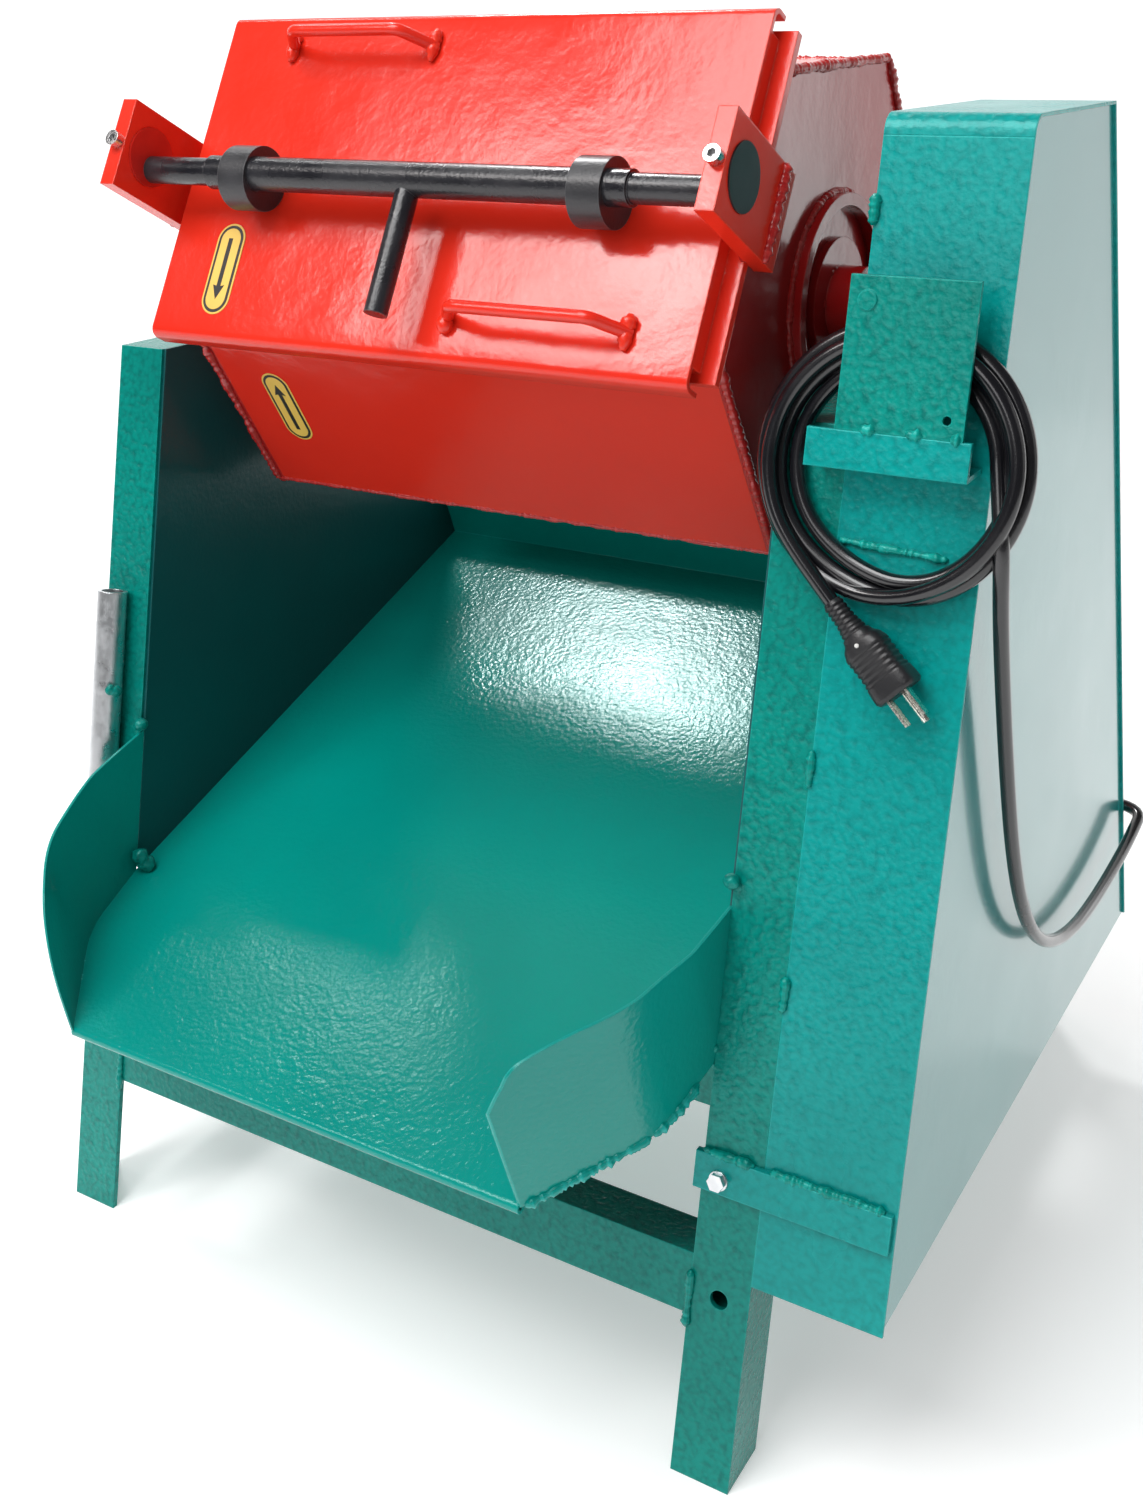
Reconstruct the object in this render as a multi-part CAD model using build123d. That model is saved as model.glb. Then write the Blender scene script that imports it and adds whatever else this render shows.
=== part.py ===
from build123d import *
import os
from math import atan2, cos, pi, radians, sin, tan

# Hexagonal drum tumbler on a splayed steel stand, with a discharge chute in front
# of the drum and a belt guard on the right. Millimetres, +Z up, the operator's side
# is -Y. The origin is on the floor, in the middle of the footprint.

# Stand
FRAME_WIDTH = 568.0       # over the outer faces of the two side frames
FOOT_DEPTH = 652.0        # front foot to rear foot, on the floor
POST_TOP = 649.0          # top of the side frames
FRONT_LEAN = 11.8         # degrees, front posts lean back going up
REAR_LEAN = 21.2          # degrees, rear posts lean forward going up
TUBE = 40.0               # angle iron and square tube
TUBE_WALL = 3.0
ANGLE = 4.0               # thickness of the angle iron
SHEET = 2.0               # folded sheet of guard, chute and side sheets
LOW_RAIL_Z = 104.0        # underside of the low rails
BACK_RAIL_Z = 372.0       # underside of the rail behind the chute
CHUTE_RAIL = 30.0         # square tube under the front of the chute
SIDE_SHEET_Z = 272.0      # lower edge of the side sheets
POST_HOLE_RADIUS = 6.0
POST_HOLE_Z = 120.0

# Belt guard
GUARD_WIDTH = 84.0
GUARD_BOTTOM = 136.0
GUARD_RISE = 169.0        # above the side frames
GUARD_BEND = 12.0         # radius of the bend between front and top
PANEL_INSET = 2.0         # side panel sits this far inside the folded edge
SHAFT_HOLE_RADIUS = 24.0

# Chute, measured along its floor from the line where the cheeks start to toe in
CHUTE_SLOPE = 19.75       # degrees
CHUTE_KNEE_Y = 1.0        # behind the front feet
CHUTE_KNEE_Z = 247.0
CHUTE_HALF = 234.0        # half width of the floor at the knee
LIP_HALF = 181.0          # half width at the lip
LIP_RUN = 73.0            # knee to lip
CHUTE_BACK_Z = 462.0      # top of the floor's upturned back edge
LIP_ROLL = 4.0            # radius of the rolled lip
BEAK_HEIGHT = 84.0        # front corner of the right cheek, square to the floor
CHEEK_REACH = 140.0       # more than the height of either cheek

# Drum
DRUM_RADIUS = 172.0       # to the corners of the hexagon
BARREL_LENGTH = 413.0
DRUM_BACK = 292.0         # axis behind the front feet
DRUM_TILT = 28.6          # degrees, the mouth faces forward and up
PANEL = 4.0
END_PLATE = 5.0
FLANGE_THICK = 6.0
FLANGE_HALF = 108.0       # half width of the mouth flange
FLANGE_OVERHANG = 8.0     # beyond the end plates
MOUTH_HALF = 76.0
MOUTH_END_MARGIN = 16.0
COLLAR_THICK = 5.0        # walls on the flange under the ends of the lid
COLLAR_HALF = 102.0
RING_RADIUS = 70.0
RING_WIDTH = 8.0
RING_HEIGHT = 8.0

# Shaft and bearings
SHAFT_RADIUS = 15.0
FIT_GAP = 0.05            # radial clearance of fits
BEARING_HEIGHT = 42.9
BEARING_WIDTH = 38.0
BEARING_LENGTH = 165.0
BEARING_FOOT = 14.0       # height of the foot
BEARING_BODY = 38.0       # radius of the round body
BEARING_WEB = 92.0        # length of the web between foot and body
BEARING_BOLT_SPAN = 121.0
BEARING_BOLT = (6.0, 19.0, 8.0, 12.0)   # shank radius, across flats, head, washer radius
STRIP_BOLT = (3.0, 10.0, 4.2, 6.2)
WASHER_THICK = 1.6
INNER_RING_RADIUS = 23.0
HUB_RADIUS = 24.0
HUB_LENGTH = 24.0

# Lid
LID_THICK = 3.0
LID_STANDOFF = 21.0       # outer face above the hexagon's open side
LID_HALF = 117.0
LID_MARGIN = 2.0          # lid's end to end plate
LID_LIP = 15.0
GASKET_WIDTH = 6.5
BODY_GAP = 0.3            # between pieces that touch but move apart
HANDLE_ROD = 4.0          # radius
HANDLE_HEIGHT = 24.0
HANDLE_SPLAY = 16.0       # feet outside the grip
HANDLE_BEND = 9.0
UPPER_HANDLE = (-128.5, 92.0, 118.0)   # middle X, place up the lid, span
LOWER_HANDLE = (55.5, -87.0, 128.0)

# Clamp across the lid
EAR_THICK = 12.0
EAR_ROOT = 30.0           # ear's root behind the lid's outer face
EAR_RISE = 58.0           # ear's end in front of it
EAR_HALF = 30.0
JOURNAL_RISE = 33.34      # journal axis off the lid's outer face
JOURNAL_UP = -4.0         # and along the lid
JOURNAL_RADIUS = 19.5
BAR_DROP_OUT = -4.0       # bar axis from the journal axis
BAR_DROP_UP = -7.0
BAR_RADIUS = 11.0
BAR_END_RADIUS = 9.0
BAR_HALF = 158.0          # half length of the thick middle
CAM_RADIUS = 21.0
CAM_OFFSET = 8.0          # cam centre nearer the lid than the bar
CAM_WIDTH = 22.0
CAM_SPAN = 264.0          # between the two cams
GRIP_RADIUS = 7.5
GRIP_LENGTH = 87.0
SCREW_RADIUS = 4.0

# Drive
DRUM_PULLEY_RADIUS = 75.0
DRIVE_PULLEY_RADIUS = 40.0
PULLEY_WIDTH = 34.0
PULLEY_GAP = 20.0         # guard's inner wall to pulley
GROOVE_WIDTH = 14.0
GROOVE_DEPTH = 11.0
BELT_WIDTH = 13.0
BELT_THICK = 8.0
BELT_SINK = 2.0           # belt's back below the pulley rim
DRIVE_BACK = 300.0        # output shaft behind the front feet
DRIVE_Z = 222.0
OUTPUT_RADIUS = 12.5
BASE_PLATE = 6.0
BASE_DEPTH = 170.0
GEARBOX = (105.0, 128.0)  # length along X, height and depth
GEARBOX_GAP = 14.0        # gearbox to the inside of the right side frame
OUTPUT_SEAT = 39.0        # length of the output shaft inside the gearbox
MOTOR_RADIUS = 66.0
MOTOR_ROOT = 60.0
MOTOR_LENGTH = 215.0
MOTOR_FINS = 28
MOTOR_CAP = 12.0          # plain ring at each end of the shell
MOTOR_FEET = 116.0        # width over the feet
MOTOR_BOX = (60.0, 80.0, 60.0, 34.0)    # place, length, width, height over the shell
ROTOR_GAP = 0.6
ROTOR_SHAFT = 9.0
ROTOR_RADIUS = 34.0
FAN_RADIUS = 50.0
FAN_COVER_LENGTH = 48.0
FAN_HOLES = ((22.0, 8), (38.0, 14))     # radius of each ring of air holes, and count
FAN_HOLE = 4.5

# Pipe socket
PIPE_RADIUS = 10.65
PIPE_BORE = 7.9
PIPE_LENGTH = 218.0
PIPE_FOOT_Z = 262.0
PIPE_IN = 15.0            # axis in from the frame's left face

# Cord hanger and strips
HANGER_STANDOFF = 21.0
HANGER_THICK = 3.0
HANGER_BAR = (-16.0, 78.0, 631.0, 652.0)       # from the guard's left edge, and heights
HANGER_PLATE = (0.0, 73.0, 735.0)
HANGER_PEG = 30.0
LOW_STRIP = (-44.0, 82.0, 188.0, 211.0)
LOW_STRIP_THICK = 4.0

# Supply cord
CORD_RADIUS = 4.65
COIL_CENTRE = (272.0, 632.0)                   # X and Z
COIL_OUTER = 81.5
COIL_INNER = 53.5
COIL_THICK = 18.6
COIL_CLEAR = 1.2                               # coil off the guard's front
PLUG_START = (257.5, 546.0)                    # X and Z of the plug's tail
PLUG_TURN = 43.5                               # degrees below level
PLUG_CLEAR = 13.0                              # plug's middle off the guard's front
PLUG_TAIL = (5.4, 8.5, 13.0)                   # radii and length of the tail
PLUG_LENGTH = 51.0
PLUG_HALF = 13.5
PLUG_THICK = 22.0
BLADE = (17.0, 1.5, 6.4)                       # length, thickness, width
BLADE_SPAN = 12.7
EARTH_PIN = (2.4, 20.0)                        # radius and length
GLAND_ARM = 44.0                               # gland axis to the cord's exit
GLAND_RADIUS = 10.0
CORD_ROUTE = [
    (311.0, 291.5, 250.0),
    (337.5, 291.5, 250.0),
    (337.5, 264.0, 241.0),
    (336.5, 214.0, 233.5),
    (336.0, 152.0, 231.5),
    (336.0, 90.0, 238.0),
    (335.5, 32.0, 256.5),
    (335.5, -17.0, 287.0),
    (335.5, -55.0, 329.0),
    (335.5, -84.0, 380.0),
    (335.5, -108.0, 440.0),
    (336.0, -131.5, 504.0),
    (338.0, -153.0, 556.0),
    (340.5, -168.0, 597.0),
]

# Places that follow from the sizes above
LEFT = -(FRAME_WIDTH + GUARD_WIDTH) / 2
LEFT_IN = LEFT + TUBE
RIGHT = LEFT + FRAME_WIDTH
RIGHT_IN = RIGHT - TUBE
GUARD_RIGHT = RIGHT + GUARD_WIDTH
MID_X = (LEFT + RIGHT) / 2
TOE = atan2(CHUTE_HALF - LIP_HALF, LIP_RUN)
NOSE_RUN = LIP_RUN + SHEET * sin(TOE)
NOSE_REACH = (NOSE_RUN * cos(radians(CHUTE_SLOPE)) + BEAK_HEIGHT * sin(radians(CHUTE_SLOPE))
              - CHUTE_KNEE_Y)
FRONT_FOOT = -(FOOT_DEPTH - NOSE_REACH) / 2
REAR_FOOT = FRONT_FOOT + FOOT_DEPTH
AXIS_Y = FRONT_FOOT + DRUM_BACK
AXIS_Z = POST_TOP + BEARING_HEIGHT
APOTHEM = DRUM_RADIUS * cos(pi / 6)
LID_OUT = APOTHEM + LID_STANDOFF
LID_IN = LID_OUT - LID_THICK
LID_LENGTH = BARREL_LENGTH - 2 * LID_MARGIN
EAR_LOW, EAR_TOP = LID_OUT - EAR_ROOT, LID_OUT + EAR_RISE
JOURNAL_OUT = LID_OUT + JOURNAL_RISE
GUARD_TOP = POST_TOP + GUARD_RISE
FLANGE_OUT = APOTHEM + FLANGE_THICK
BARREL_LEFT = MID_X - BARREL_LENGTH / 2
BARREL_RIGHT = MID_X + BARREL_LENGTH / 2
EAR_IN = BARREL_LENGTH / 2 + FLANGE_OVERHANG
BAR_OUT = JOURNAL_OUT + BAR_DROP_OUT
BAR_UP = JOURNAL_UP + BAR_DROP_UP
DRIVE_Y = FRONT_FOOT + DRIVE_BACK
PULLEY_LEFT = RIGHT + PULLEY_GAP
LEAN = radians(FRONT_LEAN)
BACK_LEAN = radians(REAR_LEAN)
SLOPE = radians(CHUTE_SLOPE)
TILT = radians(DRUM_TILT)
CHUTE_BACK_HALF = (RIGHT_IN - LEFT_IN) / 2 - SHEET
# The side sheets' front edges meet the floor here, and the stand's back plane there.
SHEET_RUN = ((CHUTE_KNEE_Z * tan(LEAN) + SHEET / cos(LEAN) - CHUTE_KNEE_Y)
             / (cos(SLOPE) - sin(SLOPE) * tan(LEAN)))
BACK_RUN = ((FOOT_DEPTH - CHUTE_KNEE_Y - CHUTE_KNEE_Z * tan(BACK_LEAN))
            / (cos(SLOPE) + sin(SLOPE) * tan(BACK_LEAN)))
COLLAR_OUT = BARREL_LENGTH / 2 - LID_THICK
GEARBOX_RIGHT = RIGHT_IN - GEARBOX_GAP
MOTOR_RIGHT = GEARBOX_RIGHT - GEARBOX[0]
MOTOR_LEFT = MOTOR_RIGHT - MOTOR_LENGTH
MOTOR_SEAT = LOW_RAIL_Z + TUBE + BASE_PLATE


def front_y(z, depth=0.0):
    """Y of the front plane at height z, depth measured square to the plane."""
    return FRONT_FOOT + z * tan(LEAN) + depth / cos(LEAN)


def rear_y(z, depth=0.0):
    return REAR_FOOT - z * tan(BACK_LEAN) - depth / cos(BACK_LEAN)


def prism(points, x0, x1):
    """A side view outline, as (Y, Z) points, extruded from x0 to x1."""
    face = make_face(Polyline(*points, close=True))
    return extrude(Plane.YZ.offset(min(x0, x1)) * face, abs(x1 - x0))


def block(x0, x1, y0, y1, z0, z1):
    return Pos(x0, y0, z0) * Box(x1 - x0, y1 - y0, z1 - z0, align=(Align.MIN,) * 3)


def rod_x(y, z, radius, x0, x1):
    """A round bar along X."""
    return Plane.YZ.offset(x0) * Pos(y, z, 0) * Cylinder(
        radius, x1 - x0, align=(Align.CENTER, Align.CENTER, Align.MIN))


def drum_point(out, up):
    """(Y, Z) of a point given along the mouth's normal and along the lid."""
    return (AXIS_Y - out * cos(TILT) + up * sin(TILT), AXIS_Z + out * sin(TILT) + up * cos(TILT))


def drum_block(out0, out1, up0, up1, x0, x1):
    corners = [(out0, up0), (out1, up0), (out1, up1), (out0, up1)]
    return prism([drum_point(*corner) for corner in corners], x0, x1)


def chute_point(run, height):
    """(Y, Z) of a point given along the chute's floor and square to it."""
    y = FRONT_FOOT + CHUTE_KNEE_Y + run * cos(SLOPE) - height * sin(SLOPE)
    return (y, CHUTE_KNEE_Z + run * sin(SLOPE) + height * cos(SLOPE))


CHUTE_PLANE = Plane(
    origin=(MID_X, *chute_point(0, 0)),
    x_dir=(1, 0, 0),
    z_dir=(0, -sin(SLOPE), cos(SLOPE)),
)


def front_plane(x, z, off):
    """Plane parallel to the stand's front: its X is +X, its Y runs down the front."""
    return Plane(
        origin=(x, front_y(z, -off), z),
        x_dir=(1, 0, 0),
        z_dir=(0, cos(LEAN), -sin(LEAN)),
    )


# ---- Stand ----

def leaning_bar(edge, depth0, depth1, x0, x1):
    """A bar the height of the stand, between two depths behind its leaning face."""
    return prism([(edge(0, depth0), 0), (edge(POST_TOP, depth0), POST_TOP),
                  (edge(POST_TOP, depth1), POST_TOP), (edge(0, depth1), 0)], x0, x1)


def post(x0, x1, edge):
    """A leaning post of angle iron, its corner at x0, which is an outer face."""
    way = 1 if x1 > x0 else -1
    return leaning_bar(edge, 0, ANGLE, x0, x1) + leaning_bar(edge, 0, TUBE, x0, x0 + way * ANGLE)


def right_front_post():
    drill = front_plane(RIGHT - TUBE / 2, POST_HOLE_Z, 1) * Cylinder(
        POST_HOLE_RADIUS, 2 * (ANGLE + 1))
    return post(RIGHT, RIGHT_IN, front_y) - drill


def side_rail(x0, x1, low):
    """A level tube inside the angle of the front and the rear post of one side."""
    high = low + TUBE
    outer = prism([(front_y(low, ANGLE), low), (front_y(high, ANGLE), high),
                   (rear_y(high, ANGLE), high), (rear_y(low, ANGLE), low)], x0, x1)
    inner = block(x0 + TUBE_WALL, x1 - TUBE_WALL, FRONT_FOOT, REAR_FOOT,
                  low + TUBE_WALL, high - TUBE_WALL)
    return outer - inner


def side_rails(low):
    return group(side_rail(LEFT + ANGLE, LEFT_IN, low), side_rail(RIGHT_IN, RIGHT - ANGLE, low))


def cross_rail(edge, lean, low, size, x0, x1):
    """A tube across the stand, its outer face in the plane of the posts."""
    def ring(inset):
        side = size - 2 * inset
        y = edge(low, 0)
        way = 1 if lean > 0 else -1
        turn = abs(radians(lean))
        back = (way * cos(turn), -sin(turn))
        rise = (way * sin(turn), cos(turn))
        start = (y + inset * (back[0] + rise[0]), low + inset * (back[1] + rise[1]))
        corners = [(0, 0), (side, 0), (side, side), (0, side)]
        return [(start[0] + a * back[0] + b * rise[0], start[1] + a * back[1] + b * rise[1])
                for a, b in corners]
    return prism(ring(0), x0, x1) - prism(ring(TUBE_WALL), x0 - 1, x1 + 1)


def chute_rail():
    """A level tube under the chute, its top edge against the floor."""
    y = front_y(CHUTE_KNEE_Z, TUBE_WALL)
    run = (y - chute_point(0, 0)[0]) / cos(SLOPE)
    top = chute_point(run, 0)[1] - SHEET / cos(SLOPE)
    outer = block(LEFT_IN, RIGHT_IN, y, y + CHUTE_RAIL, top - CHUTE_RAIL, top)
    inner = block(LEFT_IN - 1, RIGHT_IN + 1, y + TUBE_WALL, y + CHUTE_RAIL - TUBE_WALL,
                  top - CHUTE_RAIL + TUBE_WALL, top - TUBE_WALL)
    return outer - inner


def side_sheet(x0):
    low, high = SIDE_SHEET_Z, POST_TOP
    return prism([(front_y(low, SHEET), low), (front_y(high, SHEET), high),
                  (rear_y(high, SHEET), high), (rear_y(low, SHEET), low)], x0, x0 + SHEET)


def motor_base():
    z = LOW_RAIL_Z + TUBE
    return block(LEFT + ANGLE, RIGHT - ANGLE, DRIVE_Y - BASE_DEPTH / 2,
                 DRIVE_Y + BASE_DEPTH / 2, z, z + BASE_PLATE)


# ---- Chute ----

def chute_floor():
    """The sloping sheet, rolled under at the lip and bent up at the back."""
    half = [(LIP_HALF, -LIP_RUN), (CHUTE_HALF, 0), (CHUTE_BACK_HALF, SHEET_RUN),
            (CHUTE_BACK_HALF, BACK_RUN)]
    outline = half + [(-x, y) for x, y in reversed(half)]
    sheet = CHUTE_PLANE * Pos(0, 0, -SHEET) * extrude(
        make_face(Polyline(*outline, close=True)), SHEET)
    y, z = chute_point(-LIP_RUN, -LIP_ROLL)
    roll = rod_x(y, z, LIP_ROLL, MID_X - LIP_HALF, MID_X + LIP_HALF)
    bore = rod_x(y, z, LIP_ROLL - SHEET, MID_X - LIP_HALF - 1, MID_X + LIP_HALF + 1)
    low, high = chute_point(BACK_RUN, -SHEET)[1], CHUTE_BACK_Z
    back = prism([(rear_y(low), low), (rear_y(high), high), (rear_y(high, SHEET), high),
                  (rear_y(low, SHEET), low)], MID_X - CHUTE_BACK_HALF, MID_X + CHUTE_BACK_HALF)
    return sheet + back + roll - bore


def cheek(way, outline):
    """A bent side of the chute, cut off where the side sheet starts."""
    corner, end = SHEET * tan(TOE / 2), outline[-1][0]
    path = [(CHUTE_BACK_HALF, end), (CHUTE_BACK_HALF, SHEET_RUN), (CHUTE_HALF, 0),
            (LIP_HALF, -LIP_RUN), (LIP_HALF + SHEET * cos(TOE), -NOSE_RUN),
            (CHUTE_HALF + SHEET, -corner), (CHUTE_BACK_HALF + SHEET, SHEET_RUN),
            (CHUTE_BACK_HALF + SHEET, end)]
    bent = CHUTE_PLANE * Pos(0, 0, -SHEET) * extrude(
        make_face(Polyline(*[(way * x, y) for x, y in path], close=True)), CHEEK_REACH)
    front = FRONT_FOOT - FOOT_DEPTH
    ahead = prism([(front, 0), (front_y(0, SHEET), 0), (front_y(POST_TOP, SHEET), POST_TOP),
                   (front, POST_TOP)], LEFT_IN, RIGHT_IN)
    side = prism([chute_point(*point) for point in outline], LEFT_IN, RIGHT_IN)
    return bent & side & ahead


# Outlines of the cheeks as (run, height) over the chute's floor
LEFT_CHEEK = [(-76, -SHEET), (-72, 12), (-66, 34), (-55, 54), (-38, 71), (-14, 80), (20, 90),
              (62, 95), (117, 92), (140, 90), (140, -SHEET)]
RIGHT_CHEEK = [(-NOSE_RUN, -SHEET), (-NOSE_RUN, BEAK_HEIGHT), (-54, 113), (-20, 112), (18, 106),
               (60, 94), (110, 82), (140, 76), (140, -SHEET)]


# ---- Pipe socket on the left post ----

PIPE_PLANE = Plane(
    origin=(LEFT + PIPE_IN, front_y(PIPE_FOOT_Z, -PIPE_RADIUS), PIPE_FOOT_Z),
    x_dir=(1, 0, 0), z_dir=(0, sin(LEAN), cos(LEAN)))


def pipe_socket():
    low = (Align.CENTER, Align.CENTER, Align.MIN)
    tube = Cylinder(PIPE_RADIUS, PIPE_LENGTH, align=low)
    bore = Pos(0, 0, -1) * Cylinder(PIPE_BORE, PIPE_LENGTH + 2, align=low)
    return PIPE_PLANE * (tube - bore)


# ---- Drum ----

def hexagon(radius):
    return [drum_point(radius * cos(radians(a)), radius * sin(radians(a)))
            for a in range(30, 390, 60)]


def end_plate(x0):
    plate = prism(hexagon(DRUM_RADIUS), x0, x0 + END_PLATE)
    return plate - rod_x(AXIS_Y, AXIS_Z, SHAFT_RADIUS + FIT_GAP, x0 - 1, x0 + END_PLATE + 1)


def barrel_panel(face):
    """One long side of the hexagon, mitred where it meets the next."""
    inner = DRUM_RADIUS - PANEL / cos(pi / 6)
    start, stop = radians(60 * face - 30), radians(60 * face + 30)
    corners = [(DRUM_RADIUS, start), (DRUM_RADIUS, stop), (inner, stop), (inner, start)]
    points = [drum_point(r * cos(a), r * sin(a)) for r, a in corners]
    return prism(points, BARREL_LEFT + END_PLATE, BARREL_RIGHT - END_PLATE)


def mouth_flange():
    """A flat frame round the mouth, with a wall at each end for the lid to lie on."""
    plate = drum_block(APOTHEM, FLANGE_OUT, -FLANGE_HALF, FLANGE_HALF,
                       MID_X - EAR_IN, MID_X + EAR_IN)
    mouth = BARREL_LENGTH / 2 - MOUTH_END_MARGIN
    plate -= drum_block(APOTHEM - 1, FLANGE_OUT + 1, -MOUTH_HALF, MOUTH_HALF,
                        MID_X - mouth, MID_X + mouth)
    for way in (-1, 1):
        x0, x1 = sorted((MID_X + way * (COLLAR_OUT - COLLAR_THICK), MID_X + way * COLLAR_OUT))
        plate += drum_block(FLANGE_OUT, LID_IN - BODY_GAP, -COLLAR_HALF, COLLAR_HALF, x0, x1)
    return plate


def end_ring(face, way):
    """A flat stiffening ring welded on edge to an end plate."""
    x0, x1 = sorted((face, face + way * RING_HEIGHT))
    return (rod_x(AXIS_Y, AXIS_Z, RING_RADIUS, x0, x1)
            - rod_x(AXIS_Y, AXIS_Z, RING_RADIUS - RING_WIDTH, x0 - 1, x1 + 1))


def hub(face, way):
    x0, x1 = sorted((face, face + way * HUB_LENGTH))
    f0, f1 = sorted((face, face + way * END_PLATE))
    flange = rod_x(AXIS_Y, AXIS_Z, 1.75 * HUB_RADIUS, f0, f1)
    boss = rod_x(AXIS_Y, AXIS_Z, HUB_RADIUS, x0, x1)
    return flange + boss - rod_x(AXIS_Y, AXIS_Z, SHAFT_RADIUS + FIT_GAP, x0 - 1, x1 + 1)


def stub_shaft(x0, x1):
    return rod_x(AXIS_Y, AXIS_Z, SHAFT_RADIUS, x0, x1)


def bearing_housing(x):
    """A pillow block: a foot with two bolt holes and a round body."""
    x0, x1 = x - BEARING_WIDTH / 2, x + BEARING_WIDTH / 2
    foot = block(x0, x1, AXIS_Y - BEARING_LENGTH / 2, AXIS_Y + BEARING_LENGTH / 2,
                 POST_TOP, POST_TOP + BEARING_FOOT)
    web = block(x0 + 3, x1 - 3, AXIS_Y - BEARING_WEB / 2, AXIS_Y + BEARING_WEB / 2,
                POST_TOP, AXIS_Z - 8)
    body = rod_x(AXIS_Y, AXIS_Z, BEARING_BODY, x0 + 3, x1 - 3)
    bore = rod_x(AXIS_Y, AXIS_Z, INNER_RING_RADIUS + FIT_GAP, x0 - 1, x1 + 1)
    housing = foot + web + body - bore
    for y in (-BEARING_BOLT_SPAN / 2, BEARING_BOLT_SPAN / 2):
        housing -= Pos(x, AXIS_Y + y, POST_TOP + BEARING_FOOT / 2) * Cylinder(
            BEARING_BOLT[0] + 0.5, BEARING_FOOT + 6)
    return housing


def inner_ring(x):
    half = BEARING_WIDTH / 2 + 1
    return (rod_x(AXIS_Y, AXIS_Z, INNER_RING_RADIUS, x - half, x + half)
            - rod_x(AXIS_Y, AXIS_Z, SHAFT_RADIUS + FIT_GAP, x - half - 1, x + half + 1))


def hex_bolt(plane, size, length):
    """A bolt standing on a plane: washer, hexagon head and a shank behind it."""
    shank, across, head, washer = size
    low = (Align.CENTER, Align.CENTER, Align.MIN)
    bolt = Cylinder(washer, WASHER_THICK, align=low)
    bolt += Pos(0, 0, WASHER_THICK) * extrude(RegularPolygon(across / 2 / cos(pi / 6), 6), head)
    if length:
        bolt += Pos(0, 0, -length) * Cylinder(shank, length, align=low)
    return plane * bolt


def frame_bolts():
    """The four bearing bolts and the bolt of the low strip."""
    bolts = []
    for x in (LEFT + TUBE / 2, RIGHT - TUBE / 2):
        for y in (-BEARING_BOLT_SPAN / 2, BEARING_BOLT_SPAN / 2):
            plane = Plane(origin=(x, AXIS_Y + y, POST_TOP + BEARING_FOOT))
            bolts.append(hex_bolt(plane, BEARING_BOLT, BEARING_FOOT - 0.1))
    strip = front_plane(RIGHT + LOW_STRIP[0] + 17, LOW_STRIP[2] + 9, LOW_STRIP_THICK)
    bolts.append(hex_bolt(-strip, STRIP_BOLT, 0))
    return bolts


# ---- Clamp ----

def ear(x0):
    plate = drum_block(EAR_LOW, EAR_TOP, JOURNAL_UP - EAR_HALF, JOURNAL_UP + EAR_HALF,
                       x0, x0 + EAR_THICK)
    plate -= rod_x(*drum_point(JOURNAL_OUT, JOURNAL_UP), JOURNAL_RADIUS + FIT_GAP,
                   x0 - 1, x0 + EAR_THICK + 1)
    return plate - ear_drill(x0 + EAR_THICK / 2, SCREW_RADIUS)


def ear_drill(x, radius):
    y, z = drum_point(EAR_TOP + 1, JOURNAL_UP)
    plane = Plane(origin=(x, y, z), z_dir=drum_normal(-1))
    length = EAR_TOP + 1 - JOURNAL_OUT - JOURNAL_RADIUS / 2
    return plane * Cylinder(radius, length, align=(Align.CENTER, Align.CENTER, Align.MIN))


def drum_normal(way=1):
    return (0, -way * cos(TILT), way * sin(TILT))


def ear_screw(x):
    """A cap screw in the ear's front edge that locks the journal's bush."""
    root = JOURNAL_OUT + JOURNAL_RADIUS + BODY_GAP
    plane = Plane(origin=(x, *drum_point(root, JOURNAL_UP)), z_dir=drum_normal())
    low = (Align.CENTER, Align.CENTER, Align.MIN)
    reach = EAR_TOP - root
    screw = Cylinder(SCREW_RADIUS - FIT_GAP, reach, align=low)
    screw += Pos(0, 0, reach) * Cylinder(5.2, 6.5, align=low)
    socket = Pos(0, 0, reach + 3) * extrude(RegularPolygon(2.8, 6), 4)
    return plane * (screw - socket)


def clamp_bar():
    y, z = drum_point(BAR_OUT, BAR_UP)
    end = EAR_IN - 1.5
    bar = rod_x(y, z, BAR_RADIUS, MID_X - BAR_HALF, MID_X + BAR_HALF)
    return bar + rod_x(y, z, BAR_END_RADIUS, MID_X - end, MID_X + end)


def journal(way):
    """A round bush in the ear that carries the bar off its centre."""
    x0, x1 = sorted((MID_X + way * (EAR_IN - 1.5), MID_X + way * (EAR_IN + EAR_THICK + 1)))
    return rod_x(*drum_point(JOURNAL_OUT, JOURNAL_UP), JOURNAL_RADIUS, x0, x1)


def cam_collar(way):
    x = MID_X + way * CAM_SPAN / 2
    collar = rod_x(*drum_point(BAR_OUT - CAM_OFFSET, BAR_UP), CAM_RADIUS,
                   x - CAM_WIDTH / 2, x + CAM_WIDTH / 2)
    return collar - rod_x(*drum_point(BAR_OUT, BAR_UP), BAR_RADIUS + FIT_GAP,
                          x - CAM_WIDTH, x + CAM_WIDTH)


def clamp_grip():
    """The T handle: a round bar that points down the lid."""
    plane = Plane(origin=(MID_X + 2, *drum_point(BAR_OUT, BAR_UP)),
                  z_dir=(0, -sin(TILT), -cos(TILT)))
    grip = plane * Cylinder(GRIP_RADIUS, GRIP_LENGTH, align=(Align.CENTER, Align.CENTER, Align.MIN))
    return grip - rod_x(*drum_point(BAR_OUT, BAR_UP), BAR_RADIUS + FIT_GAP, MID_X - 20, MID_X + 24)


# ---- Lid ----

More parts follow.
